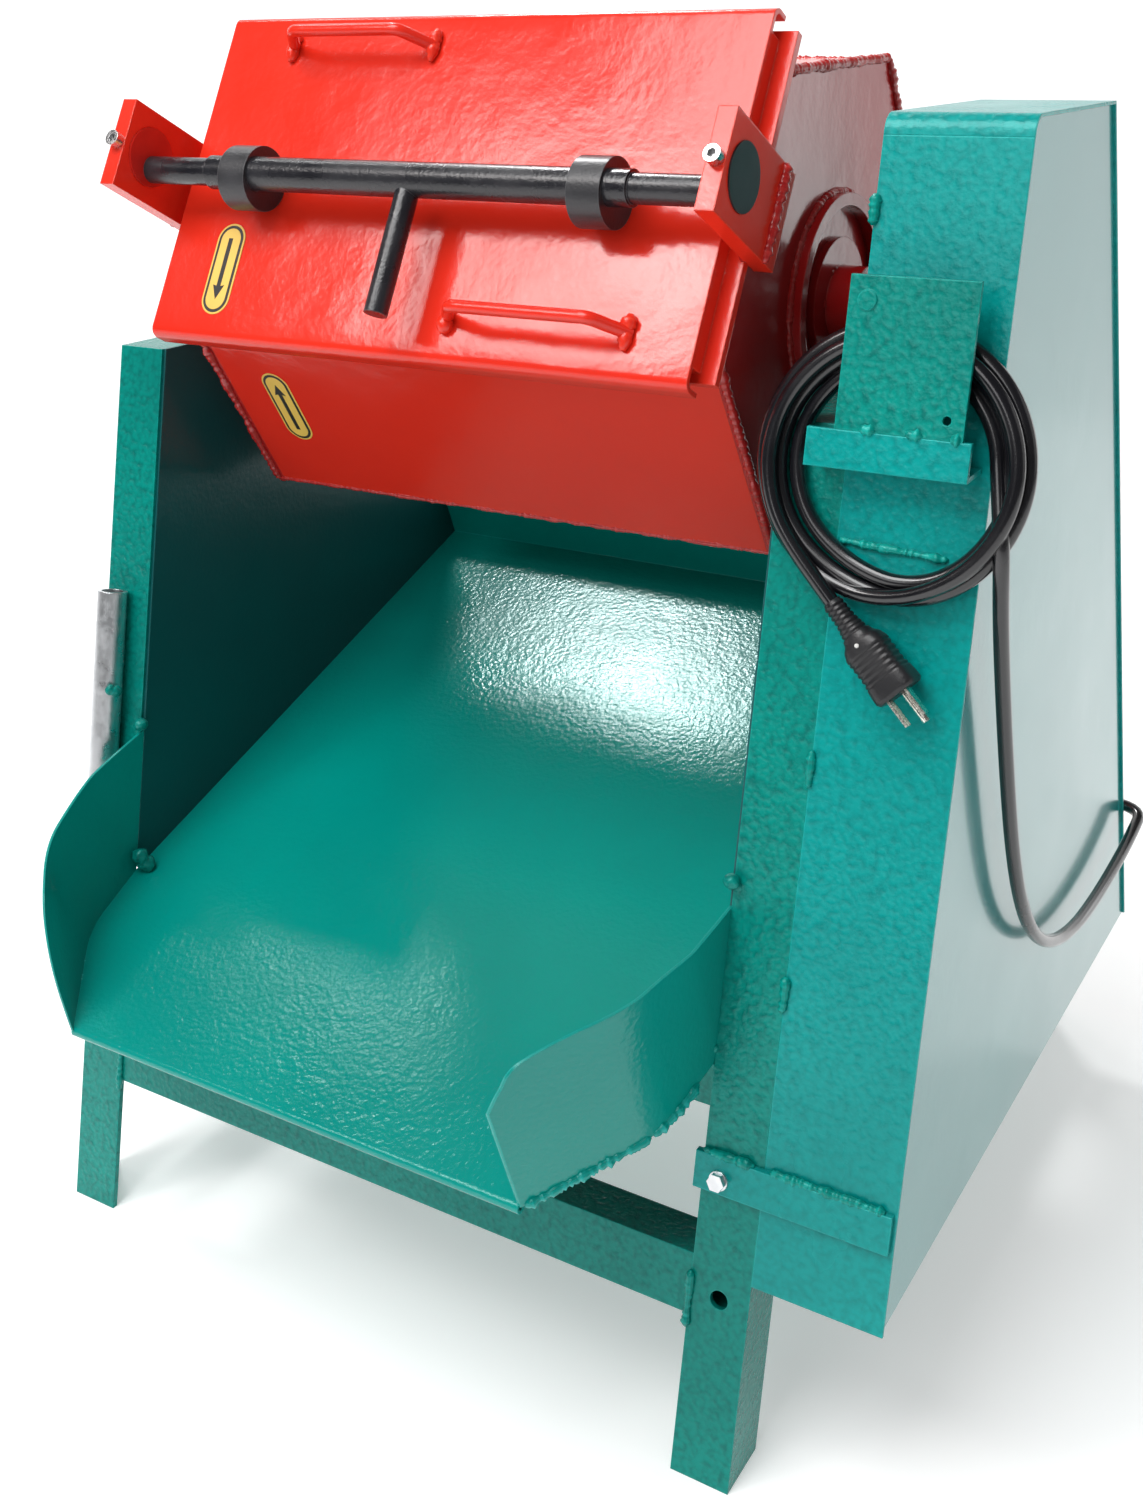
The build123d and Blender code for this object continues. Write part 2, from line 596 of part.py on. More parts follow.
def lid_plate():
    x0, x1 = MID_X - LID_LENGTH / 2, MID_X + LID_LENGTH / 2
    lid = drum_block(LID_IN, LID_OUT, -LID_HALF, LID_HALF, x0, x1)
    for way in (-1, 1):
        up0, up1 = sorted((way * LID_HALF, way * (LID_HALF - LID_THICK)))
        lid += drum_block(LID_OUT - LID_LIP, LID_OUT, up0, up1, x0, x1)
    return lid


def lid_gasket():
    """A rubber strip round the mouth, glued inside the lid."""
    outer_x = COLLAR_OUT - COLLAR_THICK - BODY_GAP
    inner_up, inner_x = MOUTH_HALF + GASKET_WIDTH, outer_x - GASKET_WIDTH
    outer_up = inner_up + GASKET_WIDTH
    low = FLANGE_OUT + BODY_GAP
    strip = drum_block(low, LID_IN, -outer_up, outer_up, MID_X - outer_x, MID_X + outer_x)
    return strip - drum_block(low - 1, LID_IN + 1, -inner_up, inner_up,
                              MID_X - inner_x, MID_X + inner_x)


def lid_handle(middle, up, span):
    """A bent rod with splayed legs, welded to the lid."""
    y, z = drum_point(LID_OUT, up)
    plane = Plane(origin=(middle, y, z), x_dir=(1, 0, 0), z_dir=(0, sin(TILT), cos(TILT)))
    half, lift = span / 2, HANDLE_HEIGHT
    # The plane's Y runs inwards, so the handle rises along -Y.
    foot = half - HANDLE_SPLAY
    points = [(-half, 0), (-foot, -lift), (foot, -lift), (half, 0)]
    path = plane * FilletPolyline(*points, radius=HANDLE_BEND)
    profile = Plane(origin=path @ 0, z_dir=path % 0) * Circle(HANDLE_ROD)
    rod = sweep(profile, path=path)
    keep = drum_block(LID_OUT, LID_OUT + 2 * lift, up - 20, up + 20, middle - span, middle + span)
    return rod & keep


# ---- Guard ----

def guard_front():
    low, high = GUARD_BOTTOM, GUARD_TOP - GUARD_BEND
    return prism([(front_y(low), low), (front_y(high), high),
                  (front_y(high, SHEET), high), (front_y(low, SHEET), low)], RIGHT, GUARD_RIGHT)


def bent_line(low, inset, radius):
    """Up the front, round the bend and back along the top, inset from the outside."""
    high = GUARD_TOP - inset
    corners = [(front_y(low, inset), low), (front_y(high, inset), high), (rear_y(high, inset), high)]
    return FilletPolyline(*corners, radius=radius), corners


def guard_top():
    """The level top with the bend that runs down into the front."""
    low = GUARD_TOP - GUARD_BEND
    outer, far = bent_line(low, 0, GUARD_BEND)
    inner, near = bent_line(low, SHEET, GUARD_BEND - SHEET)
    near[2] = (rear_y(GUARD_TOP - SHEET), GUARD_TOP - SHEET)
    edge = [Line(inner @ 1, near[2]), Line(near[2], far[2]), Line(near[0], far[0])]
    return extrude(Plane.YZ.offset(RIGHT) * make_face([outer, inner, *edge]), GUARD_WIDTH)


def guard_back():
    low, high = GUARD_BOTTOM, GUARD_TOP - SHEET
    return prism([(rear_y(low), low), (rear_y(high), high),
                  (rear_y(high, SHEET), high), (rear_y(low, SHEET), low)], RIGHT, GUARD_RIGHT)


def inside_wall(low, x0):
    """A flat wall that fills the fold of front, top and back from a height up."""
    bend, corners = bent_line(low, SHEET, GUARD_BEND - SHEET)
    foot = (rear_y(low, SHEET), low)
    edge = [Line(corners[2], foot), Line(foot, corners[0])]
    return extrude(Plane.YZ.offset(x0) * make_face([bend, *edge]), SHEET)


def guard_side():
    """The flat side panel, let in between front, top and back."""
    return inside_wall(GUARD_BOTTOM, GUARD_RIGHT - PANEL_INSET - SHEET)


def guard_inner():
    """The upper inner wall, standing on the side frame, with the shaft's hole."""
    return inside_wall(POST_TOP, RIGHT) - rod_x(
        AXIS_Y, AXIS_Z, SHAFT_HOLE_RADIUS, RIGHT - 1, RIGHT + SHEET + 1)


# ---- Drive ----

def pulley(y, z, radius, bore):
    x0, x1 = PULLEY_LEFT, PULLEY_LEFT + PULLEY_WIDTH
    middle = (x0 + x1) / 2
    wheel = rod_x(y, z, radius, x0 + 6, x1 - 6) + rod_x(y, z, bore + 12, x0, x1)
    groove = (rod_x(y, z, radius + 1, middle - GROOVE_WIDTH / 2, middle + GROOVE_WIDTH / 2)
              - rod_x(y, z, radius - GROOVE_DEPTH, x0, x1))
    return wheel - groove - rod_x(y, z, bore + FIT_GAP, x0 - 1, x1 + 1)


def drive_belt():
    middle = PULLEY_LEFT + PULLEY_WIDTH / 2
    def loop(inset):
        top = Pos(AXIS_Y, AXIS_Z) * Circle(DRUM_PULLEY_RADIUS - inset)
        low = Pos(DRIVE_Y, DRIVE_Z) * Circle(DRIVE_PULLEY_RADIUS - inset)
        return make_hull(top.edges() + low.edges())
    band = loop(BELT_SINK) - loop(BELT_SINK + BELT_THICK)
    return extrude(Plane.YZ.offset(middle - BELT_WIDTH / 2) * band, BELT_WIDTH)


def gearbox():
    side = GEARBOX[1]
    x0, x1 = MOTOR_RIGHT, GEARBOX_RIGHT
    body = rod_x(DRIVE_Y, DRIVE_Z, side / 2, x0, x1)
    foot = block(x0, x1, DRIVE_Y - side / 2, DRIVE_Y + side / 2, MOTOR_SEAT, MOTOR_SEAT + 12)
    neck = block(x0 + 10, x1 - 10, DRIVE_Y - side / 3, DRIVE_Y + side / 3, MOTOR_SEAT, DRIVE_Z)
    boss = rod_x(DRIVE_Y, DRIVE_Z, side / 4, x1, x1 + 8)
    bore = rod_x(DRIVE_Y, DRIVE_Z, OUTPUT_RADIUS + FIT_GAP, x1 - OUTPUT_SEAT - 1, x1 + 9)
    return body + foot + neck + boss - bore


def output_shaft():
    return rod_x(DRIVE_Y, DRIVE_Z, OUTPUT_RADIUS, GEARBOX_RIGHT - OUTPUT_SEAT,
                 PULLEY_LEFT + PULLEY_WIDTH + 2)


def motor_ring(x0, x1, radius):
    return rod_x(DRIVE_Y, DRIVE_Z, radius, x0, x1)


def motor_body():
    """A ribbed motor shell on two feet, bored for its rotor."""
    x0, x1 = MOTOR_LEFT, MOTOR_RIGHT
    points = []
    for i in range(MOTOR_FINS):
        for part, radius in ((0.0, MOTOR_ROOT), (0.62, MOTOR_ROOT),
                             (0.62, MOTOR_RADIUS), (1.0, MOTOR_RADIUS)):
            a = 2 * pi * (i + part) / MOTOR_FINS
            points.append((DRIVE_Y + radius * cos(a), DRIVE_Z + radius * sin(a)))
    shell = prism(points, x0 + MOTOR_CAP, x1 - MOTOR_CAP)
    shell += motor_ring(x0, x0 + MOTOR_CAP, MOTOR_RADIUS - 1)
    shell += motor_ring(x1 - MOTOR_CAP, x1, MOTOR_RADIUS - 1)
    half = MOTOR_FEET / 2
    feet = block(x0 + 40, x1 - 40, DRIVE_Y - half, DRIVE_Y + half, MOTOR_SEAT, MOTOR_SEAT + 8)
    feet += block(x0 + 40, x1 - 40, DRIVE_Y - half / 2, DRIVE_Y + half / 2,
                  MOTOR_SEAT, DRIVE_Z - MOTOR_ROOT + 20)
    place, length, width, height = MOTOR_BOX
    box = block(x0 + place, x0 + place + length, DRIVE_Y - width / 2, DRIVE_Y + width / 2,
                DRIVE_Z + MOTOR_ROOT - 8, DRIVE_Z + MOTOR_RADIUS + height)
    bore = motor_ring(x0 + MOTOR_CAP + 3, x1 - MOTOR_CAP - 3, ROTOR_RADIUS + ROTOR_GAP)
    eye = motor_ring(x0 - 1, x0 + MOTOR_CAP + 4, ROTOR_SHAFT + FIT_GAP)
    return shell + feet + box - bore - eye


def motor_rotor():
    """The rotor, its shaft and the fan on the shaft's outer end."""
    x0, x1 = MOTOR_LEFT, MOTOR_RIGHT
    rotor = motor_ring(x0 + 25, x1 - 25, ROTOR_RADIUS)
    rotor += motor_ring(x0 - FAN_COVER_LENGTH + MOTOR_CAP, x1 - 18, ROTOR_SHAFT)
    rotor += motor_ring(x0 - 12, x0 - 9, FAN_RADIUS)
    for i in range(8):
        blade = block(x0 - 30, x0 - 11, -1.5, 1.5, 8, FAN_RADIUS - 2)
        rotor += Pos(0, DRIVE_Y, DRIVE_Z) * Rot(45 * i, 0, 0) * blade
    return rotor


def fan_cover():
    """A pressed cup over the fan, with two rings of air holes in its end."""
    x1 = MOTOR_LEFT
    x0 = x1 - FAN_COVER_LENGTH
    outer = MOTOR_RADIUS - 2
    cup = motor_ring(x0, x1, outer)
    cup = fillet(cup.faces().sort_by(Axis.X)[0].edges(), 8)
    cup -= motor_ring(x0 + SHEET + 6, x1 + 1, outer - SHEET)
    cup -= motor_ring(x0 + SHEET, x1, outer - 10)
    for ring, count in FAN_HOLES:
        for i in range(count):
            a = 2 * pi * i / count
            cup -= rod_x(DRIVE_Y + ring * cos(a), DRIVE_Z + ring * sin(a), FAN_HOLE,
                         x0 - 1, x0 + SHEET + 1)
    return cup


# ---- Strips and cord hanger ----

def front_strip(x0, x1, low, high, near, far):
    """A flat bar parallel to the stand's front, between two distances off it."""
    return prism([(front_y(low, -near), low), (front_y(low, -far), low),
                  (front_y(high, -far), high), (front_y(high, -near), high)], RIGHT + x0, RIGHT + x1)


def hanger_bar():
    """An angle bar welded across post and guard; its foot holds it off the front."""
    x0, x1, low, high = HANGER_BAR
    face = front_strip(x0, x1, low, high, HANGER_STANDOFF, HANGER_STANDOFF + HANGER_THICK)
    foot = front_strip(x0, x1, low, low + HANGER_THICK, 0, HANGER_STANDOFF)
    return face + foot


def hanger_plate():
    """The plate that keeps the coil in place, with a peg behind it for the coil."""
    x0, x1, high = HANGER_PLATE
    low = HANGER_BAR[3]
    plate = front_strip(x0, x1, low, high, HANGER_STANDOFF, HANGER_STANDOFF + HANGER_THICK)
    small = front_plane(RIGHT + x1 - 10, low + 10, HANGER_STANDOFF) * Cylinder(2.5, 20)
    peg_z = COIL_CENTRE[1] + (COIL_INNER - 5.5) * cos(LEAN)
    peg = front_plane(RIGHT + HANGER_PEG, peg_z, HANGER_STANDOFF) * Cylinder(
        4, HANGER_STANDOFF, align=(Align.CENTER, Align.CENTER, Align.MIN))
    rivet = front_plane(RIGHT + x0 + 11, high - 13, HANGER_STANDOFF + HANGER_THICK + 1.2) * Cylinder(
        5.5, 1.2, align=(Align.CENTER, Align.CENTER, Align.MIN))
    return plate - small + peg + rivet


def low_strip():
    x0, x1, low, high = LOW_STRIP
    return front_strip(x0, x1, low, high, 0, LOW_STRIP_THICK)


# ---- Supply cord ----

def cord_radii(points):
    """Each corner's radius: 0.45 of the shorter run over the tangent of half the turn."""
    radii = []
    for a, b, c in zip(points, points[1:], points[2:]):
        ahead, behind = Vector(*c) - Vector(*b), Vector(*b) - Vector(*a)
        run = min(ahead.length, behind.length)
        radii.append(0.45 * run / tan(radians(behind.get_angle(ahead)) / 2))
    return radii


def supply_cord():
    radii = cord_radii(CORD_ROUTE)
    path = FilletPolyline(*CORD_ROUTE, radius=radii)
    profile = Plane(origin=path @ 0, z_dir=path % 0) * Circle(CORD_RADIUS)
    tube = sweep(profile, path=path)
    print("cord radii", [round(r) for r in radii], "length", round(path.length),
          "volume ratio", round(tube.volume / (pi * CORD_RADIUS**2 * path.length), 4))
    return tube


def cord_coil():
    x, z = COIL_CENTRE
    plane = front_plane(x, z, COIL_CLEAR + COIL_THICK)
    return plane * extrude(Circle(COIL_OUTER) - Circle(COIL_INNER), COIL_THICK)


def plug_frame():
    """Plane at the plug's tail: X along the plug, Z square to the stand's front."""
    x, z = PLUG_START
    turn = radians(PLUG_TURN)
    along = Vector(cos(turn), -sin(turn) * sin(LEAN), -sin(turn) * cos(LEAN))
    return Plane(origin=(x, front_y(z, -PLUG_CLEAR), z), x_dir=along,
                 z_dir=(0, -cos(LEAN), sin(LEAN)))


def plug_body():
    """A moulded three-pin plug: a ribbed tail and a flat-sided head."""
    tail = Plane.YZ * Cone(*PLUG_TAIL, align=(Align.CENTER, Align.CENTER, Align.MIN))
    neck, end, wide = PLUG_TAIL[2], PLUG_LENGTH, PLUG_HALF
    half = [(neck, wide - 4.5), (neck + 6, wide), (end - 3, wide), (end, wide - 2.5)]
    head = half + [(x, -y) for x, y in reversed(half)]
    body = Pos(0, 0, -PLUG_THICK / 2) * extrude(make_face(Polyline(*head, close=True)), PLUG_THICK)
    return plug_frame() * (tail + body)


def plug_pins():
    """Two flat blades side by side and a round earth pin nearer the stand."""
    low = (Align.MIN, Align.CENTER, Align.CENTER)
    blades = [Pos(PLUG_LENGTH, way * BLADE_SPAN / 2, 4.5) * Box(*BLADE, align=low)
              for way in (-1, 1)]
    earth = Plane.YZ.offset(PLUG_LENGTH) * Pos(0, -6.5) * Cylinder(
        *EARTH_PIN, align=(Align.CENTER, Align.CENTER, Align.MIN))
    return [plug_frame() * pin for pin in (*blades, earth)]


def cord_gland():
    """An elbow gland on the guard's back that sends the cord to the right."""
    x, y, z = CORD_ROUTE[0]
    x -= GLAND_ARM
    base = Plane(origin=(x, rear_y(z), z), z_dir=(0, cos(BACK_LEAN), sin(BACK_LEAN)))
    low = (Align.CENTER, Align.CENTER, Align.MIN)
    nut, stem = GLAND_RADIUS + 3, 2 * GLAND_RADIUS
    elbow = base * (extrude(RegularPolygon(nut, 6), 4)
                    + Pos(0, 0, 4) * Cylinder(GLAND_RADIUS, stem, align=low))
    arm = Plane(origin=(x, y, z), z_dir=(1, 0, 0))
    elbow += arm * Cylinder(GLAND_RADIUS - 1, stem, align=low)
    elbow += arm * Pos(0, 0, stem) * Cone(GLAND_RADIUS - 2, CORD_RADIUS + 1, GLAND_ARM - stem,
                                          align=low)
    return elbow


def group(*shapes):
    return Compound(children=list(shapes))


def model():
    bearing_x = (LEFT + TUBE / 2, RIGHT - TUBE / 2)
    rear = (rear_y, -REAR_LEAN)
    parts = {
        "left_front_post": post(LEFT, LEFT_IN, front_y),
        "right_front_post": right_front_post(),
        "left_rear_post": post(LEFT, LEFT_IN, rear_y),
        "right_rear_post": post(RIGHT, RIGHT_IN, rear_y),
        "top_rails": side_rails(POST_TOP - TUBE),
        "low_side_rails": side_rails(LOW_RAIL_Z),
        "front_rail": cross_rail(front_y, FRONT_LEAN, LOW_RAIL_Z, TUBE, LEFT_IN, RIGHT_IN),
        "rear_rails": group(
            cross_rail(*rear, LOW_RAIL_Z, TUBE, LEFT_IN, RIGHT_IN),
            cross_rail(*rear, BACK_RAIL_Z, TUBE, LEFT_IN + SHEET, RIGHT_IN - SHEET)),
        "chute_rail": chute_rail(),
        "side_sheets": group(side_sheet(LEFT_IN), side_sheet(RIGHT_IN - SHEET)),
        "motor_base": motor_base(),
        "chute_floor": chute_floor(),
        "left_cheek": cheek(-1, LEFT_CHEEK),
        "right_cheek": cheek(1, RIGHT_CHEEK),
        "pipe_socket": pipe_socket(),
        "frame_bolts": group(*frame_bolts()),
        "left_end_plate": end_plate(BARREL_LEFT),
        "right_end_plate": end_plate(BARREL_RIGHT - END_PLATE),
        "mouth_flange": mouth_flange(),
        "end_rings": group(end_ring(BARREL_LEFT, -1), end_ring(BARREL_RIGHT, 1)),
        "shaft_hubs": group(hub(BARREL_LEFT, -1), hub(BARREL_RIGHT, 1)),
        "stub_shafts": group(
            stub_shaft(LEFT + TUBE_WALL, BARREL_LEFT + END_PLATE),
            stub_shaft(BARREL_RIGHT - END_PLATE, PULLEY_LEFT + PULLEY_WIDTH + 2)),
        "bearing_inner_rings": group(*[inner_ring(x) for x in bearing_x]),
        "bearing_housings": group(*[bearing_housing(x) for x in bearing_x]),
        "clamp_ears": group(ear(MID_X - EAR_IN - EAR_THICK), ear(MID_X + EAR_IN)),
        "ear_screws": group(*[ear_screw(MID_X + way * (EAR_IN + EAR_THICK / 2)) for way in (-1, 1)]),
        "lid_plate": lid_plate(),
        "lid_gasket": lid_gasket(),
        "upper_lid_handle": lid_handle(*UPPER_HANDLE),
        "lower_lid_handle": lid_handle(*LOWER_HANDLE),
        "clamp_bar": clamp_bar(),
        "journal_bushes": group(journal(-1), journal(1)),
        "cam_collars": group(cam_collar(-1), cam_collar(1)),
        "clamp_grip": clamp_grip(),
        "guard_front": guard_front(),
        "guard_top": guard_top(),
        "guard_back": guard_back(),
        "guard_side": guard_side(),
        "guard_inner": guard_inner(),
        "drum_pulley": pulley(AXIS_Y, AXIS_Z, DRUM_PULLEY_RADIUS, SHAFT_RADIUS),
        "drive_pulley": pulley(DRIVE_Y, DRIVE_Z, DRIVE_PULLEY_RADIUS, OUTPUT_RADIUS),
        "drive_belt": drive_belt(),
        "gearbox": gearbox(),
        "output_shaft": output_shaft(),
        "motor_body": motor_body(),
        "motor_rotor": motor_rotor(),
        "fan_cover": fan_cover(),
        "hanger_bar": hanger_bar(),
        "hanger_plate": hanger_plate(),
        "low_strip": low_strip(),
        "cord_gland": cord_gland(),
        "supply_cord": supply_cord(),
        "cord_coil": cord_coil(),
        "plug_body": plug_body(),
        "plug_pins": group(*plug_pins()),
    }
    for face in range(1, 6):
        parts[f"barrel_panel_{face}"] = barrel_panel(face)
    return parts


os.makedirs("parts", exist_ok=True)
for name, shape in model().items():
    export_step(shape, f"parts/{name}.step")
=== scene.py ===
import math
import random

import bmesh
import bpy
from mathutils import Matrix, Vector, noise


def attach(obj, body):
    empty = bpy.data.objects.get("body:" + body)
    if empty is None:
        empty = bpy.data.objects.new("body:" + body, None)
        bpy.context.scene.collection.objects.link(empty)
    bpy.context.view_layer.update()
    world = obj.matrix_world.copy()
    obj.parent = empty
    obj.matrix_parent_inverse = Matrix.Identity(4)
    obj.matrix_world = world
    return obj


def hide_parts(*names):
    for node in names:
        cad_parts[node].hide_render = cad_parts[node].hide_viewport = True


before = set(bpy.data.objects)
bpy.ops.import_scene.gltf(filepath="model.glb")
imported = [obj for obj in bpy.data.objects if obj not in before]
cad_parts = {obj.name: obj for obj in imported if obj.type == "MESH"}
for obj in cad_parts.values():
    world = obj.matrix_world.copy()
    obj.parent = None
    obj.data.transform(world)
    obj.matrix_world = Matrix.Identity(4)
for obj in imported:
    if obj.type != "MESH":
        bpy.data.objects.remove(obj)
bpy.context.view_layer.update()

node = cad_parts
scene = bpy.context.scene


# ---- Camera ----
# It stands to the front right of the machine at hip height and looks down on the
# chute. The machine fills the lower part of what the lens takes in, hence the shift.

CAMERA_PLACE = Vector((0.5856, -1.0097, 0.8628))
CAMERA_TURN, CAMERA_DOWN, CAMERA_ROLL = (math.radians(a) for a in (31.37, 18.18, -0.872))
LENS = 40.04
SHIFT_Y = -0.1142

sight = Vector((-math.sin(CAMERA_TURN) * math.cos(CAMERA_DOWN),
                math.cos(CAMERA_TURN) * math.cos(CAMERA_DOWN), -math.sin(CAMERA_DOWN)))
across = Vector((math.cos(CAMERA_TURN), math.sin(CAMERA_TURN), 0))
rise = across.cross(sight)
right_hand = across * math.cos(CAMERA_ROLL) + rise * math.sin(CAMERA_ROLL)
overhead = rise * math.cos(CAMERA_ROLL) - across * math.sin(CAMERA_ROLL)
lens = bpy.data.cameras.new("camera")
lens.lens, lens.sensor_width, lens.shift_y = LENS, 36, SHIFT_Y
lens.clip_start, lens.clip_end = 0.05, 60
camera = bpy.data.objects.new("camera", lens)
scene.collection.objects.link(camera)
camera.matrix_world = Matrix.Translation(CAMERA_PLACE) @ Matrix(
    (right_hand, overhead, -sight)).transposed().to_4x4()
scene.camera = camera


# ---- Supply cord ----
# A round three-core flex in a glossy black sheath. It leaves the gland on the back of
# the belt guard, hangs down the guard's side and comes up in front. There it is wound
# by hand, over three and a half loose turns on the hanger's peg, and ends in the plug.

CORD_THICK = 0.0093
FRONT_FOOT_Y, FRONT_LEAN = -0.27740, math.radians(11.8)
CORD_ROUTE = [
    (0.3110, 0.2915, 0.2500), (0.3375, 0.2915, 0.2500), (0.3375, 0.2640, 0.2410),
    (0.3365, 0.2140, 0.2335), (0.3360, 0.1520, 0.2315), (0.3360, 0.0900, 0.2380),
    (0.3355, 0.0320, 0.2565), (0.3355, -0.0170, 0.2870), (0.3355, -0.0550, 0.3290),
    (0.3355, -0.0840, 0.3800), (0.3355, -0.1080, 0.4400), (0.3360, -0.1315, 0.5040),
    (0.3380, -0.1530, 0.5560), (0.3405, -0.1680, 0.5970),
]
COIL_X, COIL_Z = 0.272, 0.632
COIL_STEP = 20            # degrees between control points, 18 in each turn
COIL_STOP = 1300
# Radius of each pass, and the distance of its middle off the guard's front
COIL_PASSES = [(0.0735, 0.0150), (0.0580, 0.0062), (0.0672, 0.0066), (0.0766, 0.0060),
               (0.0716, 0.0152)]
CROSSING, CROSSING_SHARE = 0.42, 0.16    # where in a turn one pass becomes the next
COIL_SWAY = 0.0011                       # how far a turn wanders in and out
SPLINE_EASE = 1.013                      # the spline runs a little inside its points


def off_front(x, z, off):
    """A point at height z, its distance off measured square to the stand's front."""
    y = FRONT_FOOT_Y + z * math.tan(FRONT_LEAN) - off / math.cos(FRONT_LEAN)
    return Vector((x, y, z))


def coil_point(angle):
    """Turns change size over the top, where the hanger's plate covers the crossing."""
    whole, part = divmod((angle + 270) / 360, 1)
    part = min(1.0, max(0.0, (part - CROSSING) / CROSSING_SHARE))
    part = part * part * (3 - 2 * part)
    last = len(COIL_PASSES) - 1
    before = COIL_PASSES[min(int(whole), last)]
    after = COIL_PASSES[min(int(whole) + 1, last)]
    radius, off = (a + (b - a) * part for a, b in zip(before, after))
    radius = (radius + COIL_SWAY * math.sin(math.radians(angle * 1.31 + 40))) * SPLINE_EASE
    turned = math.radians(angle)
    return off_front(COIL_X + radius * math.cos(turned),
                     COIL_Z + radius * math.sin(turned) * math.cos(FRONT_LEAN), off)


PLUG_X, PLUG_Z, PLUG_OFF, PLUG_DOWN = 0.2575, 0.546, 0.013, math.radians(43.5)
plug_along = Vector((math.cos(PLUG_DOWN), -math.sin(PLUG_DOWN) * math.sin(FRONT_LEAN),
                     -math.sin(PLUG_DOWN) * math.cos(FRONT_LEAN)))
plug_out = Vector((0, -math.cos(FRONT_LEAN), math.sin(FRONT_LEAN)))
plug_tail = off_front(PLUG_X, PLUG_Z, PLUG_OFF)

way = [Vector(p) for p in CORD_ROUTE]
way += [coil_point(a) for a in range(0, COIL_STOP + 1, COIL_STEP)]
way += [plug_tail + plug_along * d for d in (-0.016, -0.006, 0.004)]
line = bpy.data.curves.new("supply_flex", "CURVE")
line.dimensions = "3D"
line.bevel_depth = CORD_THICK / 2
line.bevel_resolution = 5
line.resolution_u = 6
line.use_fill_caps = True
run = line.splines.new("NURBS")
run.points.add(len(way) - 1)
for spot, place in zip(run.points, way):
    spot.co = (*place, 1)
run.order_u = 3
run.use_endpoint_u = True
run.use_smooth = True
flex = bpy.data.objects.new("supply_flex", line)
scene.collection.objects.link(flex)


def fit(tree, kind, sockets=None, **settings):
    """Adds a node, sets it, and feeds each socket from another socket or a value."""
    made = tree.nodes.new("ShaderNode" + kind)
    for key, value in settings.items():
        setattr(made, key, value)
    for key, value in (sockets or {}).items():
        if isinstance(value, bpy.types.NodeSocket):
            tree.links.new(value, made.inputs[key])
        else:
            made.inputs[key].default_value = value
    return made


def effect(name, inputs, outputs):
    """A shared effect: a node group whose inputs all are plain numbers."""
    tree = bpy.data.node_groups.new(name, "ShaderNodeTree")
    for label, value in inputs.items():
        socket = tree.interface.new_socket(label, in_out="INPUT", socket_type="NodeSocketFloat")
        socket.default_value = value
    for label, kind in outputs.items():
        tree.interface.new_socket(label, in_out="OUTPUT", socket_type="NodeSocket" + kind)
    return tree, tree.nodes.new("NodeGroupInput").outputs, tree.nodes.new("NodeGroupOutput").inputs


def use(tree, group, **inputs):
    """Places a shared effect in a material with the material's own values."""
    made = tree.nodes.new("ShaderNodeGroup")
    made.node_tree = group
    for label, value in inputs.items():
        made.inputs[label.replace("_", " ")].default_value = value
    return made.outputs


def finish_of(name, **settings):
    """A new material whose shader sockets hold the finish's plain values."""
    made = bpy.data.materials.new(name)
    made.use_nodes = True
    shader = made.node_tree.nodes["Principled BSDF"]
    for socket, value in settings.items():
        shader.inputs[socket.replace("_", " ")].default_value = value
    return made, made.node_tree, shader


# Soft edges: sheet and bar edges are never knife sharp under paint. The effect gives
# the rounded normal and a mask of how near an edge is.
soft_edges, taken, given = effect("soft_edges", {"Radius": 0.0012},
                                  {"Normal": "Vector", "Edge": "Float"})
rounded = fit(soft_edges, "Bevel", {"Radius": taken["Radius"]}, samples=4)
true_face = fit(soft_edges, "NewGeometry")
facing = fit(soft_edges, "VectorMath", {0: rounded.outputs[0], 1: true_face.outputs["True Normal"]},
             operation="DOT_PRODUCT")
near = fit(soft_edges, "MapRange", {"Value": facing.outputs["Value"], "From Min": 0.995,
                                    "From Max": 0.86, "To Min": 0.0, "To Max": 1.0})
soft_edges.links.new(rounded.outputs[0], given["Normal"])
soft_edges.links.new(near.outputs["Result"], given["Edge"])

# Mottle: slow changes of shade and fine specks, as in any sprayed or moulded skin.
mottle, taken, given = effect("mottle", {"Patch": 7.0, "Speck": 420.0},
                              {"Patches": "Float", "Specks": "Float"})
where = fit(mottle, "TexCoord").outputs["Object"]
patch = fit(mottle, "TexNoise", {"Vector": where, "Scale": taken["Patch"], "Detail": 4.0})
speck = fit(mottle, "TexNoise", {"Vector": where, "Scale": taken["Speck"], "Detail": 2.0})
for noise_node, socket, low, high in ((patch, "Patches", 0.32, 0.68), (speck, "Specks", 0.3, 0.7)):
    spread = fit(mottle, "MapRange", {"Value": noise_node.outputs["Fac"], "From Min": low,
                                      "From Max": high})
    mottle.links.new(spread.outputs["Result"], given[socket])


def blend_colour(tree, mask, low, high):
    """Mixes two colours, each a plain colour or another mix, by a mask."""
    mixed = fit(tree, "Mix", {"Factor": mask}, data_type="RGBA")
    for socket, value in ((mixed.inputs[6], low), (mixed.inputs[7], high)):
        if isinstance(value, bpy.types.NodeSocket):
            tree.links.new(value, socket)
        else:
            socket.default_value = (*value, 1)
    return mixed.outputs[2]


def between(tree, mask, low, high):
    """Spreads a mask over a range of values."""
    return fit(tree, "MapRange", {"Value": mask, "To Min": low, "To Max": high}).outputs["Result"]


def skin_bump(tree, shader, height, normal, depth):
    """The finest relief of a finish, laid over a normal and fed to the shader."""
    bump = fit(tree, "Bump", {"Height": height, "Normal": normal, "Distance": depth})
    tree.links.new(bump.outputs["Normal"], shader.inputs["Normal"])


